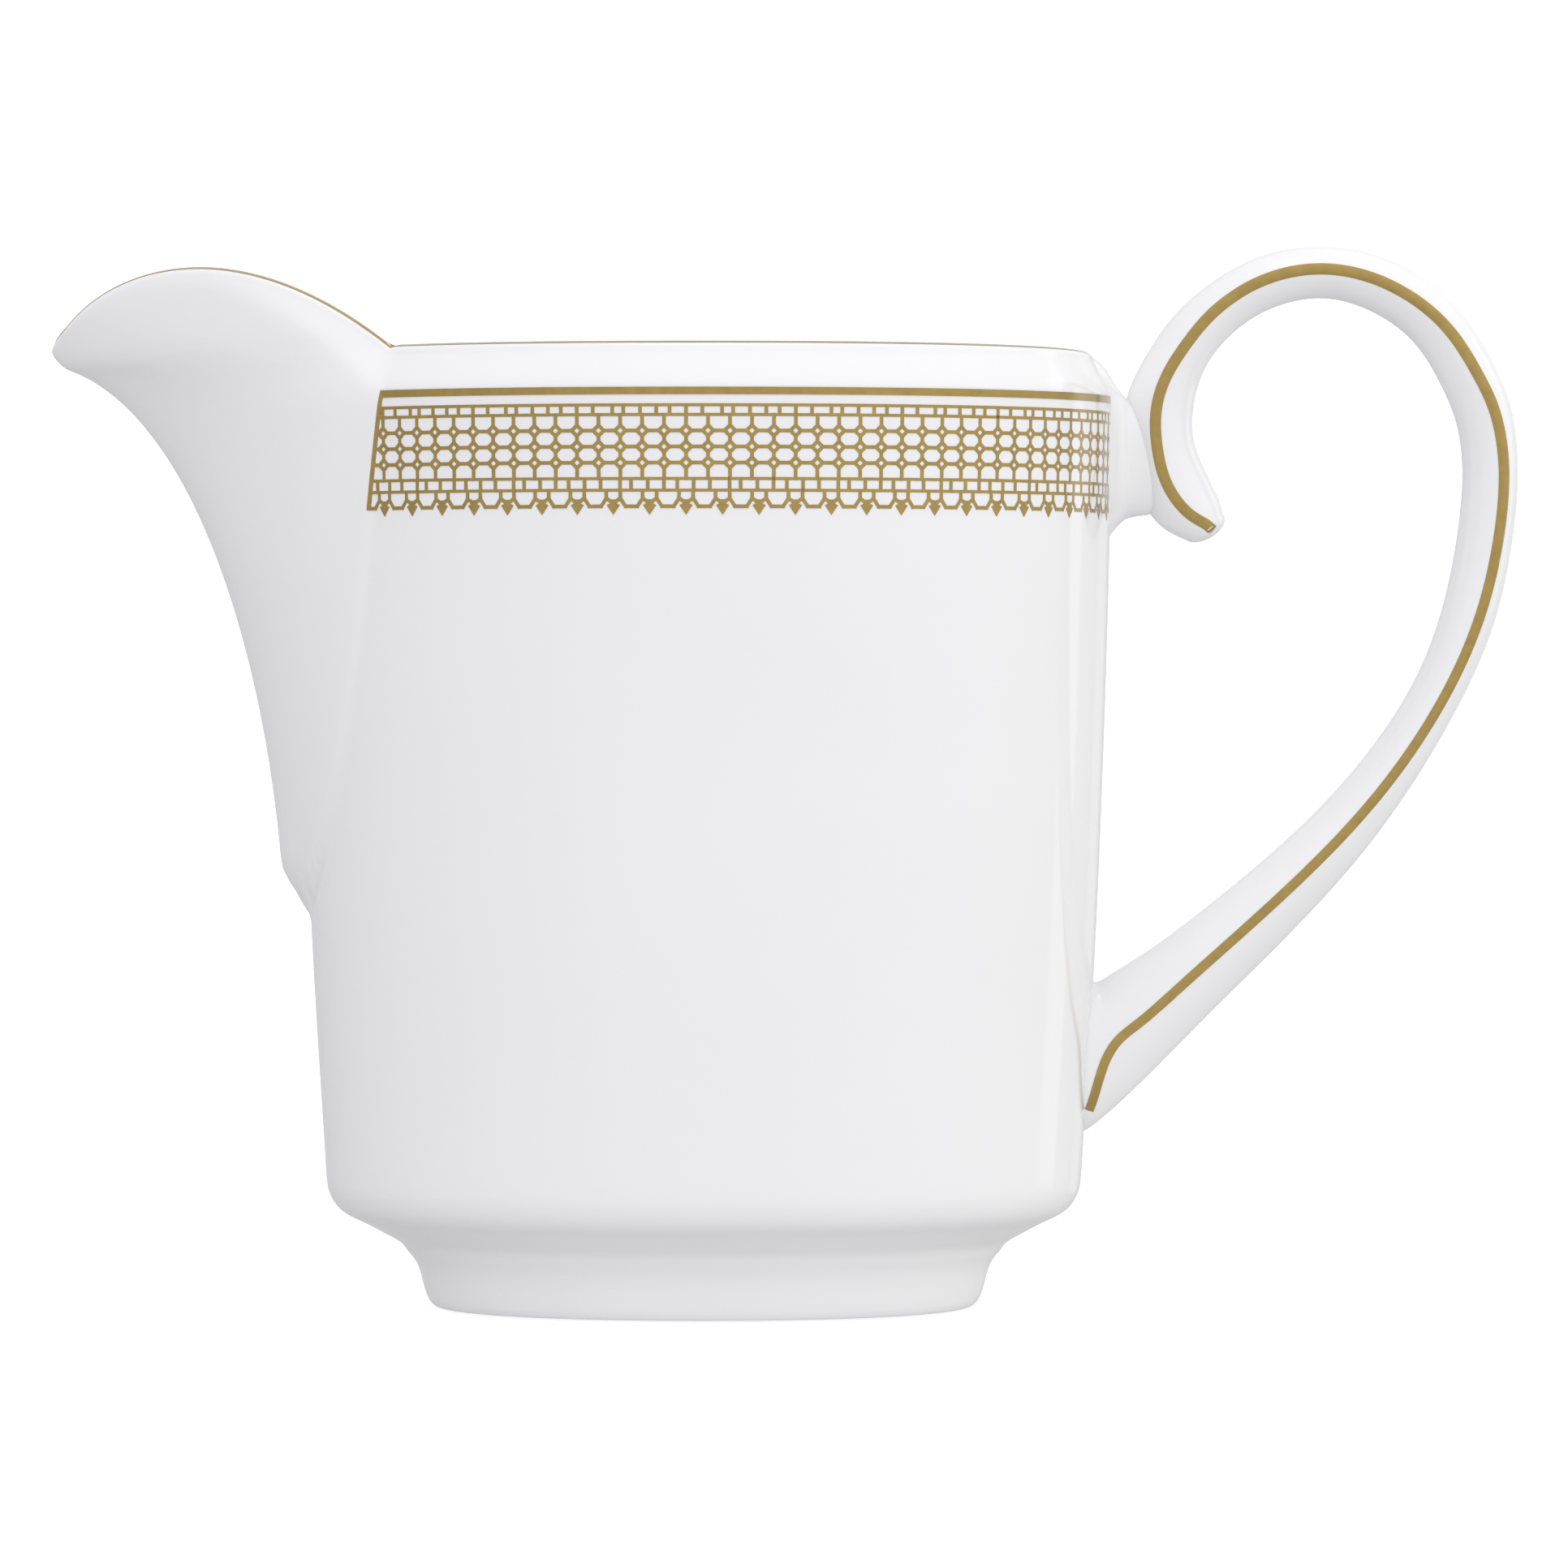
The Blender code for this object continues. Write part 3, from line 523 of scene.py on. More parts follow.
def evened(path):
    """Each column of values averaged along the path with a bell of weights; the two ends stay put."""
    weights = np.exp(-0.5 * (np.arange(-EVEN_REACH, EVEN_REACH + 1) / (EVEN_REACH / 2.5)) ** 2)
    before = 2 * path[0] - path[EVEN_REACH:0:-1]
    after = 2 * path[-1] - path[-2:-EVEN_REACH - 2:-1]
    padded = np.vstack([before, path, after])
    windows = np.lib.stride_tricks.sliding_window_view(padded, len(weights), axis=0)
    return windows @ (weights / weights.sum())


def handle_rings():
    """The handle's sections carried along its loop, and drawn in to round off the scroll's end."""
    table = [(*outer, *inner, depth, ridge, line, power)
             for outer, inner, depth, ridge, line, power in HANDLE_SECTIONS]
    path = evened(smooth_path(table, HANDLE_SPAN_STEPS))
    last = path[-1]
    along = path[-1, :4] - path[-2, :4]
    middle = (last[:2] + last[2:4]) / 2
    along = (along[:2] + along[2:]) / np.linalg.norm(along[:2] + along[2:])
    turn = np.radians([20, 38, 54, 67, 78, 86])[:, None]
    shift = along * SCROLL_END * np.sin(turn)
    outer = middle + (last[:2] - middle) * np.cos(turn) + shift
    inner = middle + (last[2:4] - middle) * np.cos(turn) + shift
    rest = np.repeat(last[None, 4:], len(turn), axis=0)
    rest[:, 0] *= np.cos(turn[:, 0])
    return np.vstack([path, np.hstack([outer, inner, rest])])


def flank_depth(rings, share):
    """Half depth at a share of the way from the outer to the inner edge: a ridge that falls to both."""
    ridge, depth, power = rings[:, 5:6], rings[:, 4:5], rings[:, 7:8]
    side = np.where(share < ridge, ridge, 1 - ridge)
    away = np.clip(np.abs(share - ridge) / side, 0.0, 1.0)
    soft = (np.sqrt(away**2 + RIDGE_SOFTNESS**2) - RIDGE_SOFTNESS)
    soft = soft / (math.sqrt(1 + RIDGE_SOFTNESS**2) - RIDGE_SOFTNESS)
    return depth * np.sqrt(1 - soft**power)


def make_handle(material):
    """The handle: across each section the share runs out and back as a cosine, and the depth follows
    the ridge's formula, with the sign of a sine."""
    rings = handle_rings()
    turn = (np.arange(HANDLE_RING) + 0.0) / HANDLE_RING * math.tau
    ridge = rings[:, 5:6]
    power = rings[:, 7:8]
    fall = np.sign(np.cos(turn)) * np.abs(np.cos(turn)) ** (2 / power)
    share = np.where(fall > 0, ridge + (1 - ridge) * fall, ridge + ridge * fall)
    y = flank_depth(rings, share) * np.sign(np.sin(turn).round(9))
    x = rings[:, 0:1] + (rings[:, 2:3] - rings[:, 0:1]) * share
    z = rings[:, 1:2] + (rings[:, 3:4] - rings[:, 1:2]) * share
    rows, columns = x.shape
    points = place(x, y, z)
    ends = [(rings[i, 0:2] + rings[i, 2:4]) / 2 for i in (0, -1)]
    poles = np.vstack([place(ends[0][0], 0.0, ends[0][1]), place(ends[1][0], 0.0, ends[1][1])])
    points = np.vstack([points, poles])
    ring = np.arange(columns)
    faces = [
        grid_faces(rows, columns),
        fan_faces(rows * columns, ring, True),
        fan_faces(rows * columns + 1, ring + (rows - 1) * columns, False),
    ]
    piece = make_piece("handle_loop", points, faces, material)
    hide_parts("handle", "lower_handle_joint")
    return piece


def make_lug(material):
    """The short bridge to the scroll: rounded upright sections carried out from the wall."""
    path = smooth_path(LUG_SECTIONS, 6)
    turn = np.arange(48) / 48 * math.tau
    power = 2 / 2.4
    across = np.sign(np.cos(turn)) * np.abs(np.cos(turn)) ** power
    aside = np.sign(np.sin(turn)) * np.abs(np.sin(turn)) ** power
    middle = (path[:, 1:2] + path[:, 2:3]) / 2
    z = middle + (path[:, 2:3] - path[:, 1:2]) / 2 * across
    y = path[:, 3:4] * aside
    x = path[:, 0:1] + 0.0 * turn
    rows, columns = x.shape
    points = np.vstack([place(x, y, z), place(path[0, 0], 0.0, middle[0]), place(path[-1, 0], 0.0, middle[-1])])
    ring = np.arange(columns)
    faces = [
        grid_faces(rows, columns)[:, ::-1],
        fan_faces(rows * columns, ring, False),
        fan_faces(rows * columns + 1, ring + (rows - 1) * columns, True),
    ]
    piece = make_piece("handle_lug", points, faces, material)
    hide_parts("upper_handle_joint")
    return piece


def ring_values(rings, index):
    """The sections' values at places between the rings, run in straight lines from one to the next."""
    low = np.clip(np.floor(index).astype(int), 0, len(rings) - 2)
    part = (index - low)[..., None]
    return rings[low] * (1 - part) + rings[low + 1] * part


def flank_point(rings, index, share):
    """Reach, height and half depth of the flank at a place along the handle and a share across it."""
    values = ring_values(rings, index)
    x = values[..., 0] + (values[..., 2] - values[..., 0]) * share
    z = values[..., 1] + (values[..., 3] - values[..., 1]) * share
    flat = values.reshape(-1, values.shape[-1])
    depth = flank_depth(flat, share.reshape(-1, 1)).reshape(share.shape)
    return x, z, depth


def make_handle_line(side, material):
    """A thin ribbon along the flank: the line's course, spread to both sides square to it by solving
    for the steps along and across the handle that make each small move, with its skins just off the
    flank and just inside it."""
    rings = handle_rings()
    index = np.linspace(LINE_START, len(rings) - LINE_STOP, 320)
    share = ring_values(rings, index)[:, 6]
    x, z, _ = flank_point(rings, index, share)
    x_on, z_on, _ = flank_point(rings, index + 0.1, share)
    x_over, z_over, _ = flank_point(rings, index, share + 0.01)
    along = np.stack([x_on - x, z_on - z], axis=-1) / 0.1
    over = np.stack([x_over - x, z_over - z], axis=-1) / 0.01
    course = np.stack([np.gradient(x), np.gradient(z)], axis=-1)
    course /= np.linalg.norm(course, axis=1, keepdims=True)
    square = np.stack([-course[:, 1], course[:, 0]], axis=-1)
    basis = np.stack([along, over], axis=-1)
    steps = np.linalg.solve(basis, square[..., None])[..., 0]
    where, narrowing = np.array(LINE_NARROWING).T
    width = LINE_WIDTH * np.interp(np.linspace(0, 1, len(index)), where, narrowing)
    offset = np.linspace(-0.5, 0.5, 7)[None, :] * width[:, None]
    index = np.clip(index[:, None] + steps[:, :1] * offset, 0, len(rings) - 1)
    share = np.clip(share[:, None] + steps[:, 1:] * offset, 0.01, 0.99)
    x, z, depth = flank_point(rings, index, share)
    sign = -1.0 if side == "near" else 1.0
    outer = np.stack([x, sign * (depth + FILM), z], axis=-1)
    inner = np.stack([x, sign * (depth - FILM_ROOT), z], axis=-1)[:, ::-1]
    skin = np.concatenate([outer, inner], axis=1)
    rows, columns = skin.shape[:2]
    points = place(skin[..., 0], skin[..., 1], skin[..., 2])
    faces = [grid_faces(rows, columns)]
    half = columns // 2
    i = np.arange(half - 1)
    cap = np.stack([i, i + 1, columns - 2 - i, columns - 1 - i], axis=-1)
    faces.append(cap[:, ::-1])
    faces.append(cap + (rows - 1) * columns)
    if side == "near":
        faces = [block[:, ::-1] for block in faces]
    piece = make_piece(f"handle_gold_line_{side}", points, faces, material, GILDING_CORNER)
    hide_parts(f"handle_line_{side}")
    return piece


# ---- the lace band ----


def band_turn():
    """Arc length along the wall at the band, measured from the middle of a flank, and its angles."""
    angle = np.linspace(0, math.pi, 2000)
    radius = oval_reach(angle) * wall_half_length(82.0)
    x, y = -radius * np.cos(angle), radius * np.sin(angle)
    arc = np.concatenate([[0.0], np.cumsum(np.hypot(np.diff(x), np.diff(y)))])
    arc -= np.interp(math.pi / 2, angle, arc)
    return arc, angle, x, y


def lattice_threads():
    """The trellis of one repeat as straight threads (arc, height, arc, height) about its middle:
    a plain tiling of eight-sided cells in four rows, with a small diamond at each crossing."""
    pitch = REPEAT / LATTICE_COLUMNS
    level, tip = LATTICE_HALF / 2, DIAMOND
    threads = [(0.0, tip - level, 0.0, -tip), (0.0, tip, 0.0, level - tip)]
    for z in (-level, 0.0, level):
        threads += [
            (-tip, z, 0.0, z + tip), (0.0, z + tip, tip, z), (tip, z, 0.0, z - tip),
            (0.0, z - tip, -tip, z), (tip, z, pitch - tip, z),
        ]
    for way in (-1, 1):
        threads.append((0.0, way * (level + tip), 0.0, way * LATTICE_HALF))
    moves = np.arange(LATTICE_COLUMNS)[:, None, None] * np.array([pitch, 0.0, pitch, 0.0])
    return (np.array(threads)[None] + moves).reshape(-1, 4)


def hem_threads(low):
    """Scallops between small cells, three to a repeat, as straight threads down from a height."""
    step = REPEAT / 3
    threads = []
    for way in (-1, 1):
        threads += [
            (way * 0.66, low, way * 0.66, low - 0.75), (way * 0.66, low - 0.75, way * 1.15, low - 1.5),
            (way * 1.15, low - 1.5, way * step / 2, low - 1.5),
            (way * 0.66, low - 0.75, way * 0.25, low - 1.02), (way * 0.25, low - 1.02, 0.0, low - 1.02),
        ]
    threads = np.array(threads)
    moves = np.arange(3)[:, None, None] * np.array([step, 0.0, step, 0.0])
    return (threads[None] + moves).reshape(-1, 4)


def repeated(threads, low_arc, high_arc):
    """A repeat's threads laid side by side over the whole band."""
    count = int(math.ceil((high_arc - low_arc) / REPEAT)) + 2
    first = math.floor(low_arc / REPEAT) - 1
    moves = (first + np.arange(count))[:, None, None] * np.array([REPEAT, 0.0, REPEAT, 0.0])
    moves = moves + np.array([LACE_SHIFT, 0.0, LACE_SHIFT, 0.0])
    return (threads[None] + moves).reshape(-1, 4)


def clipped(threads, inside):
    """Threads cut where they cross the border, given how far inside it their ends are."""
    start, end = inside(threads[:, 0], threads[:, 1]), inside(threads[:, 2], threads[:, 3])
    keep = (start > 0) | (end > 0)
    threads, start, end = threads[keep].copy(), start[keep], end[keep]
    for inner, outer, near, away in ((start, end, 0, 2), (end, start, 2, 0)):
        cut = outer < 0
        share = (inner / np.where(cut, inner - outer, 1.0))[:, None]
        moved = threads[:, near:near + 2] + (threads[:, away:away + 2] - threads[:, near:near + 2]) * share
        threads[:, away:away + 2] = np.where(cut[:, None], moved, threads[:, away:away + 2])
    return threads


def thread_boxes(threads, width, wrap):
    """Each straight thread as a closed flat box that lies on the wall, a little longer than it."""
    start, end = threads[:, :2], threads[:, 2:]
    along = end - start
    length = np.maximum(np.linalg.norm(along, axis=1, keepdims=True), 1e-6)
    along = along / length
    start, end = start - along * width / 2.4, end + along * width / 2.4
    across = np.stack([-along[:, 1], along[:, 0]], axis=1) * width / 2
    corners = np.stack([start - across, end - across, end + across, start + across], axis=1)
    return boxes(corners, wrap)


def boxes(corners, wrap):
    """Closed plates from rings of corners, with one skin just off the wall and one just inside it."""
    count, sides = corners.shape[:2]
    lift = LIFT_STEP * (np.arange(count) % LIFT_LEVELS)[:, None]
    outer = wrap(corners[..., 0], corners[..., 1], FILM + lift)
    inner = wrap(corners[..., 0], corners[..., 1], -FILM_ROOT - lift)
    points = np.concatenate([outer, inner], axis=1).reshape(-1, 3)
    base = (np.arange(count) * 2 * sides)[:, None]
    ring = np.arange(sides)
    after = (ring + 1) % sides
    front = base + ring[None, :]
    back = base + sides + ring[None, ::-1]
    edges = np.stack([ring, ring + sides, after + sides, after], axis=-1)
    edges = (base[:, :, None] + edges[None]).reshape(-1, 4)
    return points, [front, back, edges]


def strip_between(lower, upper, wrap):
    """A long closed strip on the wall between two courses of (arc, height) points."""
    corners = [
        wrap(lower[:, 0], lower[:, 1], FILM), wrap(upper[:, 0], upper[:, 1], FILM),
        wrap(upper[:, 0], upper[:, 1], -FILM_ROOT), wrap(lower[:, 0], lower[:, 1], -FILM_ROOT),
    ]
    points = np.stack(corners, axis=1).reshape(-1, 3)
    ring = np.arange(4)[None, :]
    faces = [grid_faces(len(lower), 4)[:, ::-1], ring, ring[:, ::-1] + 4 * (len(lower) - 1)]
    return points, faces


def make_lace_band(side, material):
    """The band as gold threads wrapped round the wall by arc length and height."""
    arc, angle, along, depth = band_turn()
    sign = -1.0 if side == "near" else 1.0
    start_top = np.interp(-BAND_START_TOP, along[arc < 0], arc[arc < 0])
    start_bottom = np.interp(-BAND_START_BOTTOM, along[arc < 0], arc[arc < 0])
    stop = np.interp(BAND_END_DEPTH, depth[arc > 0][::-1], arc[arc > 0][::-1])

    def start_at(height):
        share = (BAND_TOP - height) / (BAND_TOP - BAND_BOTTOM)
        return start_top + (start_bottom - start_top) * share

    def inside(place_along, height):
        return np.minimum(place_along - start_at(height), stop - place_along)

    def wrap(place_along, height, lift):
        turn = np.interp(place_along, arc, angle)
        radius = outside_radius(turn, height, SEAM_BLEND) + lift
        shape = place_along.shape
        return place(-radius * np.cos(turn), sign * radius * np.sin(turn), height).reshape(*shape, 3)

    middle = 82.15
    lattice = lattice_threads()
    lattice[:, [1, 3]] += middle
    upper, lower = (86.02, 85.12), (79.18, 78.1)
    threads = [repeated(lattice, start_bottom, stop), repeated(hem_threads(lower[1]), start_bottom, stop)]
    joints = np.cumsum(BRICKS)
    for (high, low), slide in ((upper, 0.0), (lower, 0.7)):
        place_along = joints + slide
        upright = np.stack([place_along, 0 * joints + high, place_along, 0 * joints + low], axis=1)
        threads.append(repeated(upright, start_bottom, stop))
    threads = clipped(np.vstack(threads), inside)

    points, faces = thread_boxes(threads, THREAD, wrap)
    blocks = [(points, faces)]
    for high, low in ((BAND_TOP, BAND_TOP - 0.7), (86.16, 85.88), (85.26, 84.98), (79.32, 79.04), (78.24, 77.96)):
        share = np.linspace(0, 1, RULE_STEPS)
        upper_run = start_at(high) + (stop - start_at(high)) * share
        lower_run = start_at(low) + (stop - start_at(low)) * share
        blocks.append(strip_between(np.stack([lower_run, 0 * share + low], axis=1),
                                    np.stack([upper_run, 0 * share + high], axis=1), wrap))

    drops = repeated(np.array([[k * REPEAT / 3, 0.0, 0.0, 0.0] for k in range(3)]), start_bottom, stop)[:, 0]
    drops = drops[(drops > start_bottom + 0.6) & (drops < stop - 0.3)]
    shape = np.array([(-0.62, 76.72), (0.0, BAND_BOTTOM), (0.62, 76.72), (0.0, 77.05)])
    outline = np.stack([drops[:, None] + shape[:, 0], np.repeat(shape[None, :, 1], len(drops), axis=0)], axis=-1)
    blocks.append(boxes(outline, wrap))
    rise = np.linspace(BAND_BOTTOM + 0.7, BAND_TOP, 30)
    blocks.append(strip_between(np.stack([start_at(rise) + EDGE_THREAD, rise], axis=1),
                                np.stack([start_at(rise) - EDGE_THREAD, rise], axis=1), wrap))

    all_points, all_faces, base = [], [], 0
    for points, faces in blocks:
        points = points.reshape(-1, 3)
        for block in faces:
            all_faces.append(block[:, ::-1] + base if side == "far" else block + base)
        all_points.append(points)
        base += len(points)
    piece = make_piece(f"gold_lace_{side}", np.vstack(all_points), all_faces, material, GILDING_CORNER)
    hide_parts(f"lace_band_{side}")
    return piece


# ---- finishes ----


def add_node(tree, kind, **inputs):
    node = tree.nodes.new(kind)
    for name, value in inputs.items():
        node.inputs[name.replace("_", " ")].default_value = value
    return node


def porcelain_finish(colour, gloss):
    """White glazed porcelain: a bright body under a clear glaze with a faint orange-peel and drift."""
    material = bpy.data.materials.get("glazed_porcelain")
    if material:
        return material
    material = bpy.data.materials.new("glazed_porcelain")
    material.use_nodes = True
    tree = material.node_tree
    shader = tree.nodes["Principled BSDF"]
    shader.inputs["Roughness"].default_value = gloss
    shader.inputs["IOR"].default_value = 1.5
    shader.inputs["Coat Weight"].default_value = 0.35
    shader.inputs["Coat Roughness"].default_value = 0.04
    shader.inputs["Subsurface Weight"].default_value = 0.08
    shader.inputs["Subsurface Radius"].default_value = (0.004, 0.0036, 0.0032)
    shader.inputs["Subsurface Scale"].default_value = 0.5
    where = tree.nodes.new("ShaderNodeTexCoord")
    drift = add_node(tree, "ShaderNodeTexNoise", Scale=42.0, Detail=3.0, Roughness=0.55)
    tint = tree.nodes.new("ShaderNodeValToRGB")
    tint.color_ramp.elements[0].position = 0.3
    tint.color_ramp.elements[1].position = 0.7
    tint.color_ramp.elements[0].color = (*[c * 0.985 for c in colour], 1.0)
    tint.color_ramp.elements[1].color = (*colour, 1.0)
    ripple = add_node(tree, "ShaderNodeTexNoise", Scale=160.0, Detail=2.0, Roughness=0.5)
    bump = add_node(tree, "ShaderNodeBump", Strength=0.05, Distance=0.0002)
    link = tree.links.new
    link(where.outputs["Object"], drift.inputs["Vector"])
    link(where.outputs["Object"], ripple.inputs["Vector"])
    link(drift.outputs["Fac"], tint.inputs["Fac"])
    link(tint.outputs["Color"], shader.inputs["Base Color"])
    link(ripple.outputs["Fac"], bump.inputs["Height"])
    link(bump.outputs["Normal"], shader.inputs["Normal"])
    return material


def gold_finish(colour, roughness):
    """Fired gold: a soft metal whose tone and polish wander a little, as brushed-on gilding does."""
    material = bpy.data.materials.get("fired_gold")
    if material:
        return material
    material = bpy.data.materials.new("fired_gold")
    material.use_nodes = True
    tree = material.node_tree
    shader = tree.nodes["Principled BSDF"]
    shader.inputs["Metallic"].default_value = 1.0
    shader.inputs["Coat Weight"].default_value = 1.0
    shader.inputs["Coat Roughness"].default_value = 0.12
    where = tree.nodes.new("ShaderNodeTexCoord")
    grain = add_node(tree, "ShaderNodeTexNoise", Scale=900.0, Detail=3.0, Roughness=0.6)
    tone = tree.nodes.new("ShaderNodeValToRGB")
    tone.color_ramp.elements[0].position = 0.3
    tone.color_ramp.elements[1].position = 0.72
    tone.color_ramp.elements[0].color = (*[c * 0.82 for c in colour], 1.0)
    tone.color_ramp.elements[1].color = (*colour, 1.0)
    polish = add_node(tree, "ShaderNodeMapRange")
    polish.inputs["To Min"].default_value = roughness - 0.05
    polish.inputs["To Max"].default_value = roughness + 0.07
    link = tree.links.new
    link(where.outputs["Object"], grain.inputs["Vector"])
    link(grain.outputs["Fac"], tone.inputs["Fac"])
    link(tone.outputs["Color"], shader.inputs["Base Color"])
    link(grain.outputs["Fac"], polish.inputs["Value"])
    link(polish.outputs["Result"], shader.inputs["Roughness"])
    return material


def studio_finish(name, colour, glow):
    """Pale paper for the floor and backdrop, faintly mottled."""
    material = bpy.data.materials.new(name)
    material.use_nodes = True
    tree = material.node_tree
    shader = tree.nodes["Principled BSDF"]
    shader.inputs["Roughness"].default_value = 0.9
    shader.inputs["Specular IOR Level"].default_value = 0.1
    shader.inputs["Emission Color"].default_value = (1.0, 1.0, 1.0, 1.0)
    shader.inputs["Emission Strength"].default_value = glow
    where = tree.nodes.new("ShaderNodeTexCoord")
    mottle = add_node(tree, "ShaderNodeTexNoise", Scale=3.0, Detail=2.0)
    tone = tree.nodes.new("ShaderNodeValToRGB")
    tone.color_ramp.elements[0].color = (*[c * 0.99 for c in colour], 1.0)
    tone.color_ramp.elements[1].color = (*colour, 1.0)
    link = tree.links.new
    link(where.outputs["Object"], mottle.inputs["Vector"])
    link(mottle.outputs["Fac"], tone.inputs["Fac"])
    link(tone.outputs["Color"], shader.inputs["Base Color"])
    return material


# ---- sizes and colours a user may change ----


class JugSizes(bpy.types.PropertyGroup):
    """Size of the jug's wall."""
    wall_thickness: bpy.props.FloatProperty(
        name="Wall thickness", description="Thickness of the porcelain wall", default=0.0024,
        min=0.001, max=0.004, unit="LENGTH")


class JugFinishes(bpy.types.PropertyGroup):
    """Colours and gloss of the porcelain and the gold."""
    porcelain_colour: bpy.props.FloatVectorProperty(
        name="Porcelain", description="Colour of the glazed body", default=(0.9, 0.9, 0.905),
        min=0.0, max=1.0, subtype="COLOR")
    glaze_roughness: bpy.props.FloatProperty(
        name="Glaze roughness", description="How soft the reflections in the glaze are", default=0.12,
        min=0.0, max=1.0, subtype="FACTOR")
    gold_colour: bpy.props.FloatVectorProperty(
        name="Gold", description="Colour of the gilding", default=(0.395, 0.268, 0.058),
        min=0.0, max=1.0, subtype="COLOR")
    gold_roughness: bpy.props.FloatProperty(
        name="Gold roughness", description="How dull the gilding is", default=0.3,
        min=0.0, max=1.0, subtype="FACTOR")


class StudioSettings(bpy.types.PropertyGroup):
    """Camera and lights."""
    camera_distance: bpy.props.FloatProperty(
        name="Camera distance", description="Distance from the lens to the jug's middle", default=0.77,
        min=0.3, max=3.0, unit="LENGTH")
    camera_height: bpy.props.FloatProperty(
        name="Camera height", description="Height of the lens over the table", default=0.0602,
        min=0.0, max=1.0, unit="LENGTH")
    view_width: bpy.props.FloatProperty(
        name="View width", description="Width that the view takes in at the jug", default=0.1517,
        min=0.05, max=1.0, unit="LENGTH")
    paper_colour: bpy.props.FloatVectorProperty(
        name="Paper", description="Colour of the floor and backdrop", default=(0.93, 0.93, 0.93),
        min=0.0, max=1.0, subtype="COLOR")
    air_colour: bpy.props.FloatVectorProperty(
        name="Air", description="Colour of the soft light from all round", default=(0.975, 0.97, 1.0),
        min=0.0, max=1.0, subtype="COLOR")
    air_strength: bpy.props.FloatProperty(
        name="Air strength", description="Strength of the soft light from all round", default=0.886,
        min=0.0, max=5.0)


def porcelain():
    finishes = bpy.context.scene.jug_finishes
    return porcelain_finish(tuple(finishes.porcelain_colour), finishes.glaze_roughness)


def gold():
    finishes = bpy.context.scene.jug_finishes
    return gold_finish(tuple(finishes.gold_colour), finishes.gold_roughness)


def wall_thickness():
    return bpy.context.scene.jug_sizes.wall_thickness / MM


# ---- the stage ----


def add_sheet(name, corners, material):
    """A plain rectangle from four corners."""
    mesh = bpy.data.meshes.new(name)
    mesh.from_pydata(corners, [], [(0, 1, 2, 3)])
    mesh.materials.append(material)
    sheet = bpy.data.objects.new(name, mesh)
    bpy.context.scene.collection.objects.link(sheet)
    return sheet


def add_softbox(name, position, target, size, power, colour=(1.0, 1.0, 1.0)):
    """A rectangular soft light turned to face a point."""
    light = bpy.data.lights.new(name, "AREA")
    light.shape = "RECTANGLE"
    light.size, light.size_y = size
    light.energy = power
    light.color = colour
    box = bpy.data.objects.new(name, light)
    bpy.context.scene.collection.objects.link(box)
    aim(box, position, target)
    return box


def aim(thing, position, target):
    from mathutils import Vector
    thing.location = position
    thing.rotation_euler = (Vector(target) - Vector(position)).to_track_quat("-Z", "Y").to_euler()


def make_air(colour, lean, strength):
    """Soft light from all round: a level that rises evenly towards one direction."""
    world = bpy.data.worlds.new("air")
    world.use_nodes = True
    tree = world.node_tree
    background = tree.nodes["Background"]
    background.inputs["Strength"].default_value = strength
    where = tree.nodes.new("ShaderNodeTexCoord")
    rise = tree.nodes.new("ShaderNodeVectorMath")
    rise.operation = "DOT_PRODUCT"
    rise.inputs[1].default_value = lean
    level = tree.nodes.new("ShaderNodeMath")
    level.operation = "ADD"
    level.inputs[1].default_value = 1.0
    tint = tree.nodes.new("ShaderNodeValToRGB")
    tint.color_ramp.elements[0].position = 0.25
    tint.color_ramp.elements[0].color = (*colour, 1.0)
    tint.color_ramp.elements[1].color = (1.0, 1.0, 0.995, 1.0)
    split = tree.nodes.new("ShaderNodeSeparateXYZ")
    across = tree.nodes.new("ShaderNodeMapRange")
    across.inputs["From Min"].default_value = -1.0
    shade = tree.nodes.new("ShaderNodeVectorMath")
    shade.operation = "SCALE"
    link = tree.links.new
    link(where.outputs["Generated"], rise.inputs[0])
    link(where.outputs["Generated"], split.inputs["Vector"])
    link(split.outputs["X"], across.inputs["Value"])
    link(across.outputs["Result"], tint.inputs["Fac"])
    link(rise.outputs["Value"], level.inputs[0])
    link(tint.outputs["Color"], shade.inputs[0])
    link(level.outputs[0], shade.inputs["Scale"])
    link(shade.outputs["Vector"], background.inputs["Color"])
    return world


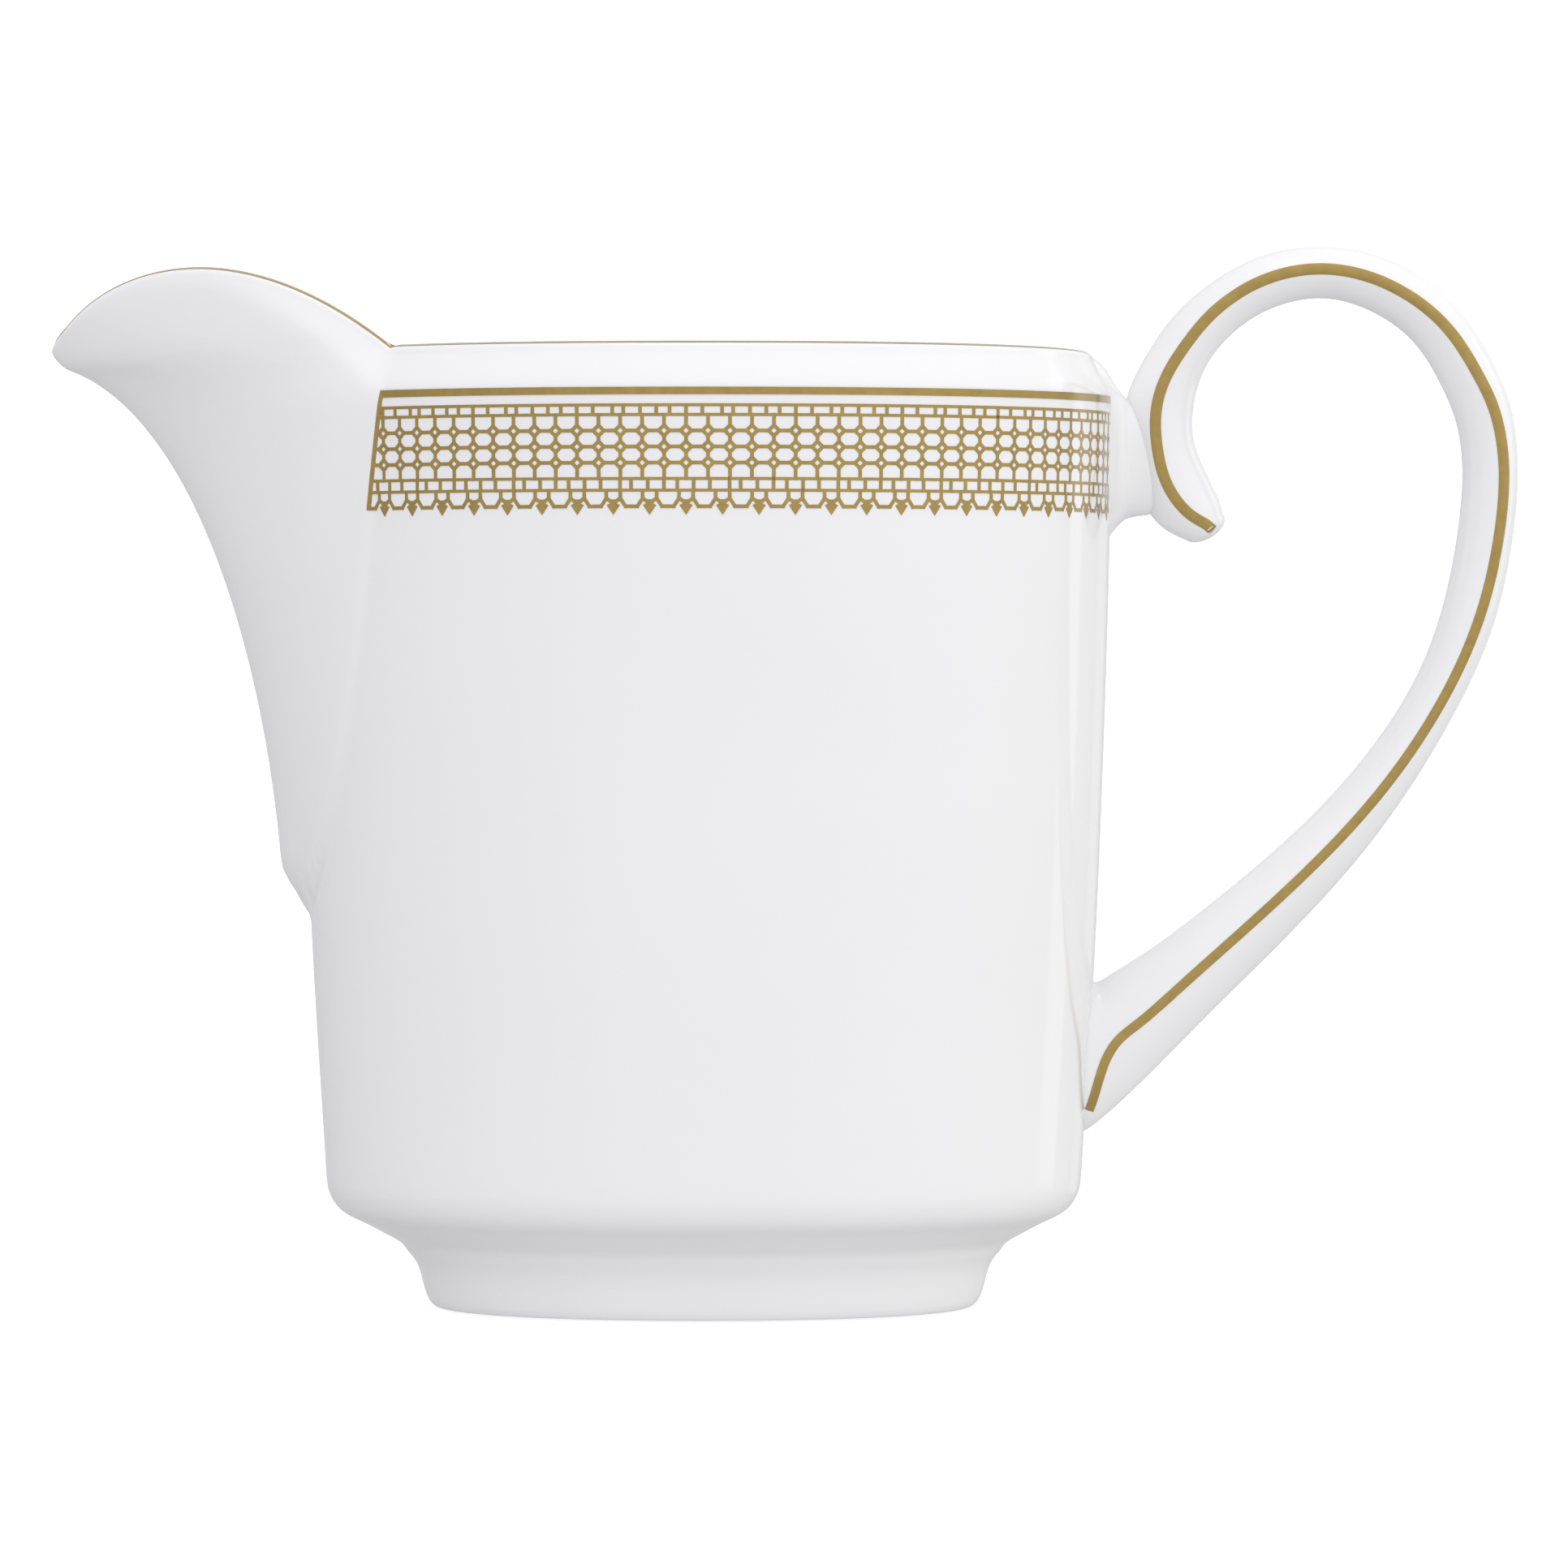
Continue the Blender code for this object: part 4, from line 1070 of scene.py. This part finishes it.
def make_stage():
    """Camera, pale floor and backdrop, soft lights."""
    scene = bpy.context.scene
    studio = scene.jug_studio
    low, high = CAD_BOX
    middle = (low + high) / 2
    camera_data = bpy.data.cameras.new("camera")
    camera_data.sensor_width = 36.0
    camera_data.lens = camera_data.sensor_width * studio.camera_distance / studio.view_width
    camera_data.clip_start = 0.01
    camera = bpy.data.objects.new("camera", camera_data)
    scene.collection.objects.link(camera)
    position = (middle.x, middle.y - studio.camera_distance, studio.camera_height)
    aim(camera, position, (middle.x, middle.y, middle.z - 0.0008))
    scene.camera = camera
    scene.view_settings.view_transform = "Standard"

    scene.world = make_air(tuple(studio.air_colour), AIR_LEAN, studio.air_strength)

    paper = studio_finish("pale_paper", tuple(studio.paper_colour), 0.45)
    floor = low.z - 0.0002
    side, back, front, top = 2.5, 1.6, -2.5, 3.0
    sheets = [
        add_sheet("floor", [(-side, front, floor), (side, front, floor), (side, back, floor), (-side, back, floor)],
                  paper),
        add_sheet("backdrop", [(-side, back, floor), (side, back, floor), (side, back, top), (-side, back, top)],
                  studio_finish("bright_paper", tuple(studio.paper_colour), 0.5)),
    ]
    for sheet in sheets:
        sheet.visible_diffuse = False
        sheet.visible_glossy = False
    add_softbox("overhead", (0.0, -0.1, 0.85), middle, (0.25, 0.25), 0.47)
    add_softbox("right_strip", (0.99, 0.48, 0.25), middle, (0.3, 0.9), 0.35)
    add_softbox("back_strip", (0.5, 0.95, 0.25), middle, (0.3, 0.9), 0.12)


# ---- operators ----


class JUG_OT_body(bpy.types.Operator):
    """Makes the pot, its spout and its foot as one porcelain shell"""
    bl_idname = "jug.body"
    bl_label = "Body"

    def execute(self, context):
        make_body(porcelain(), wall_thickness())
        return {"FINISHED"}


class JUG_OT_handle(bpy.types.Operator):
    """Makes the handle's loop and the lug that joins its scroll to the neck"""
    bl_idname = "jug.handle"
    bl_label = "Handle"

    def execute(self, context):
        make_handle(porcelain())
        make_lug(porcelain())
        return {"FINISHED"}


class JUG_OT_edge_gilding(bpy.types.Operator):
    """Gilds the rim and the spout's lip"""
    bl_idname = "jug.edge_gilding"
    bl_label = "Edge gilding"

    def execute(self, context):
        make_edge_gilding("rim_gold", "rim_gilding", False, gold(), wall_thickness(), (0.25, 0.9))
        make_edge_gilding("lip_gold", "lip_gilding", True, gold(), wall_thickness(), (0.25, 0.9))
        return {"FINISHED"}


class JUG_OT_handle_lines(bpy.types.Operator):
    """Lays the gold line along both flanks of the handle"""
    bl_idname = "jug.handle_lines"
    bl_label = "Handle lines"

    def execute(self, context):
        for side in ("near", "far"):
            make_handle_line(side, gold())
        return {"FINISHED"}


class JUG_OT_lace(bpy.types.Operator):
    """Wraps the gold lace band round both flanks under the neck"""
    bl_idname = "jug.lace"
    bl_label = "Lace band"

    def execute(self, context):
        for side in ("near", "far"):
            make_lace_band(side, gold())
        return {"FINISHED"}


class JUG_OT_stage(bpy.types.Operator):
    """Sets up the camera, the pale floor and backdrop, and the soft lights"""
    bl_idname = "jug.stage"
    bl_label = "Stage"

    def execute(self, context):
        make_stage()
        return {"FINISHED"}


OPERATORS = (JUG_OT_stage, JUG_OT_body, JUG_OT_handle, JUG_OT_edge_gilding, JUG_OT_handle_lines, JUG_OT_lace)


class JUG_PT_panel(bpy.types.Panel):
    """Lists the steps that make the jug"""
    bl_label = "Porcelain jug"
    bl_space_type = "VIEW_3D"
    bl_region_type = "UI"
    bl_category = "Jug"

    def draw(self, context):
        for operator in OPERATORS:
            self.layout.operator(operator.bl_idname)
        for group in (context.scene.jug_sizes, context.scene.jug_finishes, context.scene.jug_studio):
            for name in type(group).__annotations__:
                self.layout.prop(group, name)


CLASSES = (JugSizes, JugFinishes, StudioSettings, *OPERATORS, JUG_PT_panel)


def register():
    for item in CLASSES:
        bpy.utils.register_class(item)
    bpy.types.Scene.jug_sizes = bpy.props.PointerProperty(type=JugSizes)
    bpy.types.Scene.jug_finishes = bpy.props.PointerProperty(type=JugFinishes)
    bpy.types.Scene.jug_studio = bpy.props.PointerProperty(type=StudioSettings)


def unregister():
    del bpy.types.Scene.jug_sizes
    del bpy.types.Scene.jug_finishes
    del bpy.types.Scene.jug_studio
    for item in reversed(CLASSES):
        bpy.utils.unregister_class(item)


def main():
    register()
    bpy.ops.jug.stage()
    bpy.ops.jug.body()
    bpy.ops.jug.handle()
    bpy.ops.jug.edge_gilding()
    bpy.ops.jug.handle_lines()
    bpy.ops.jug.lace()


if __name__ == "__main__":
    main()
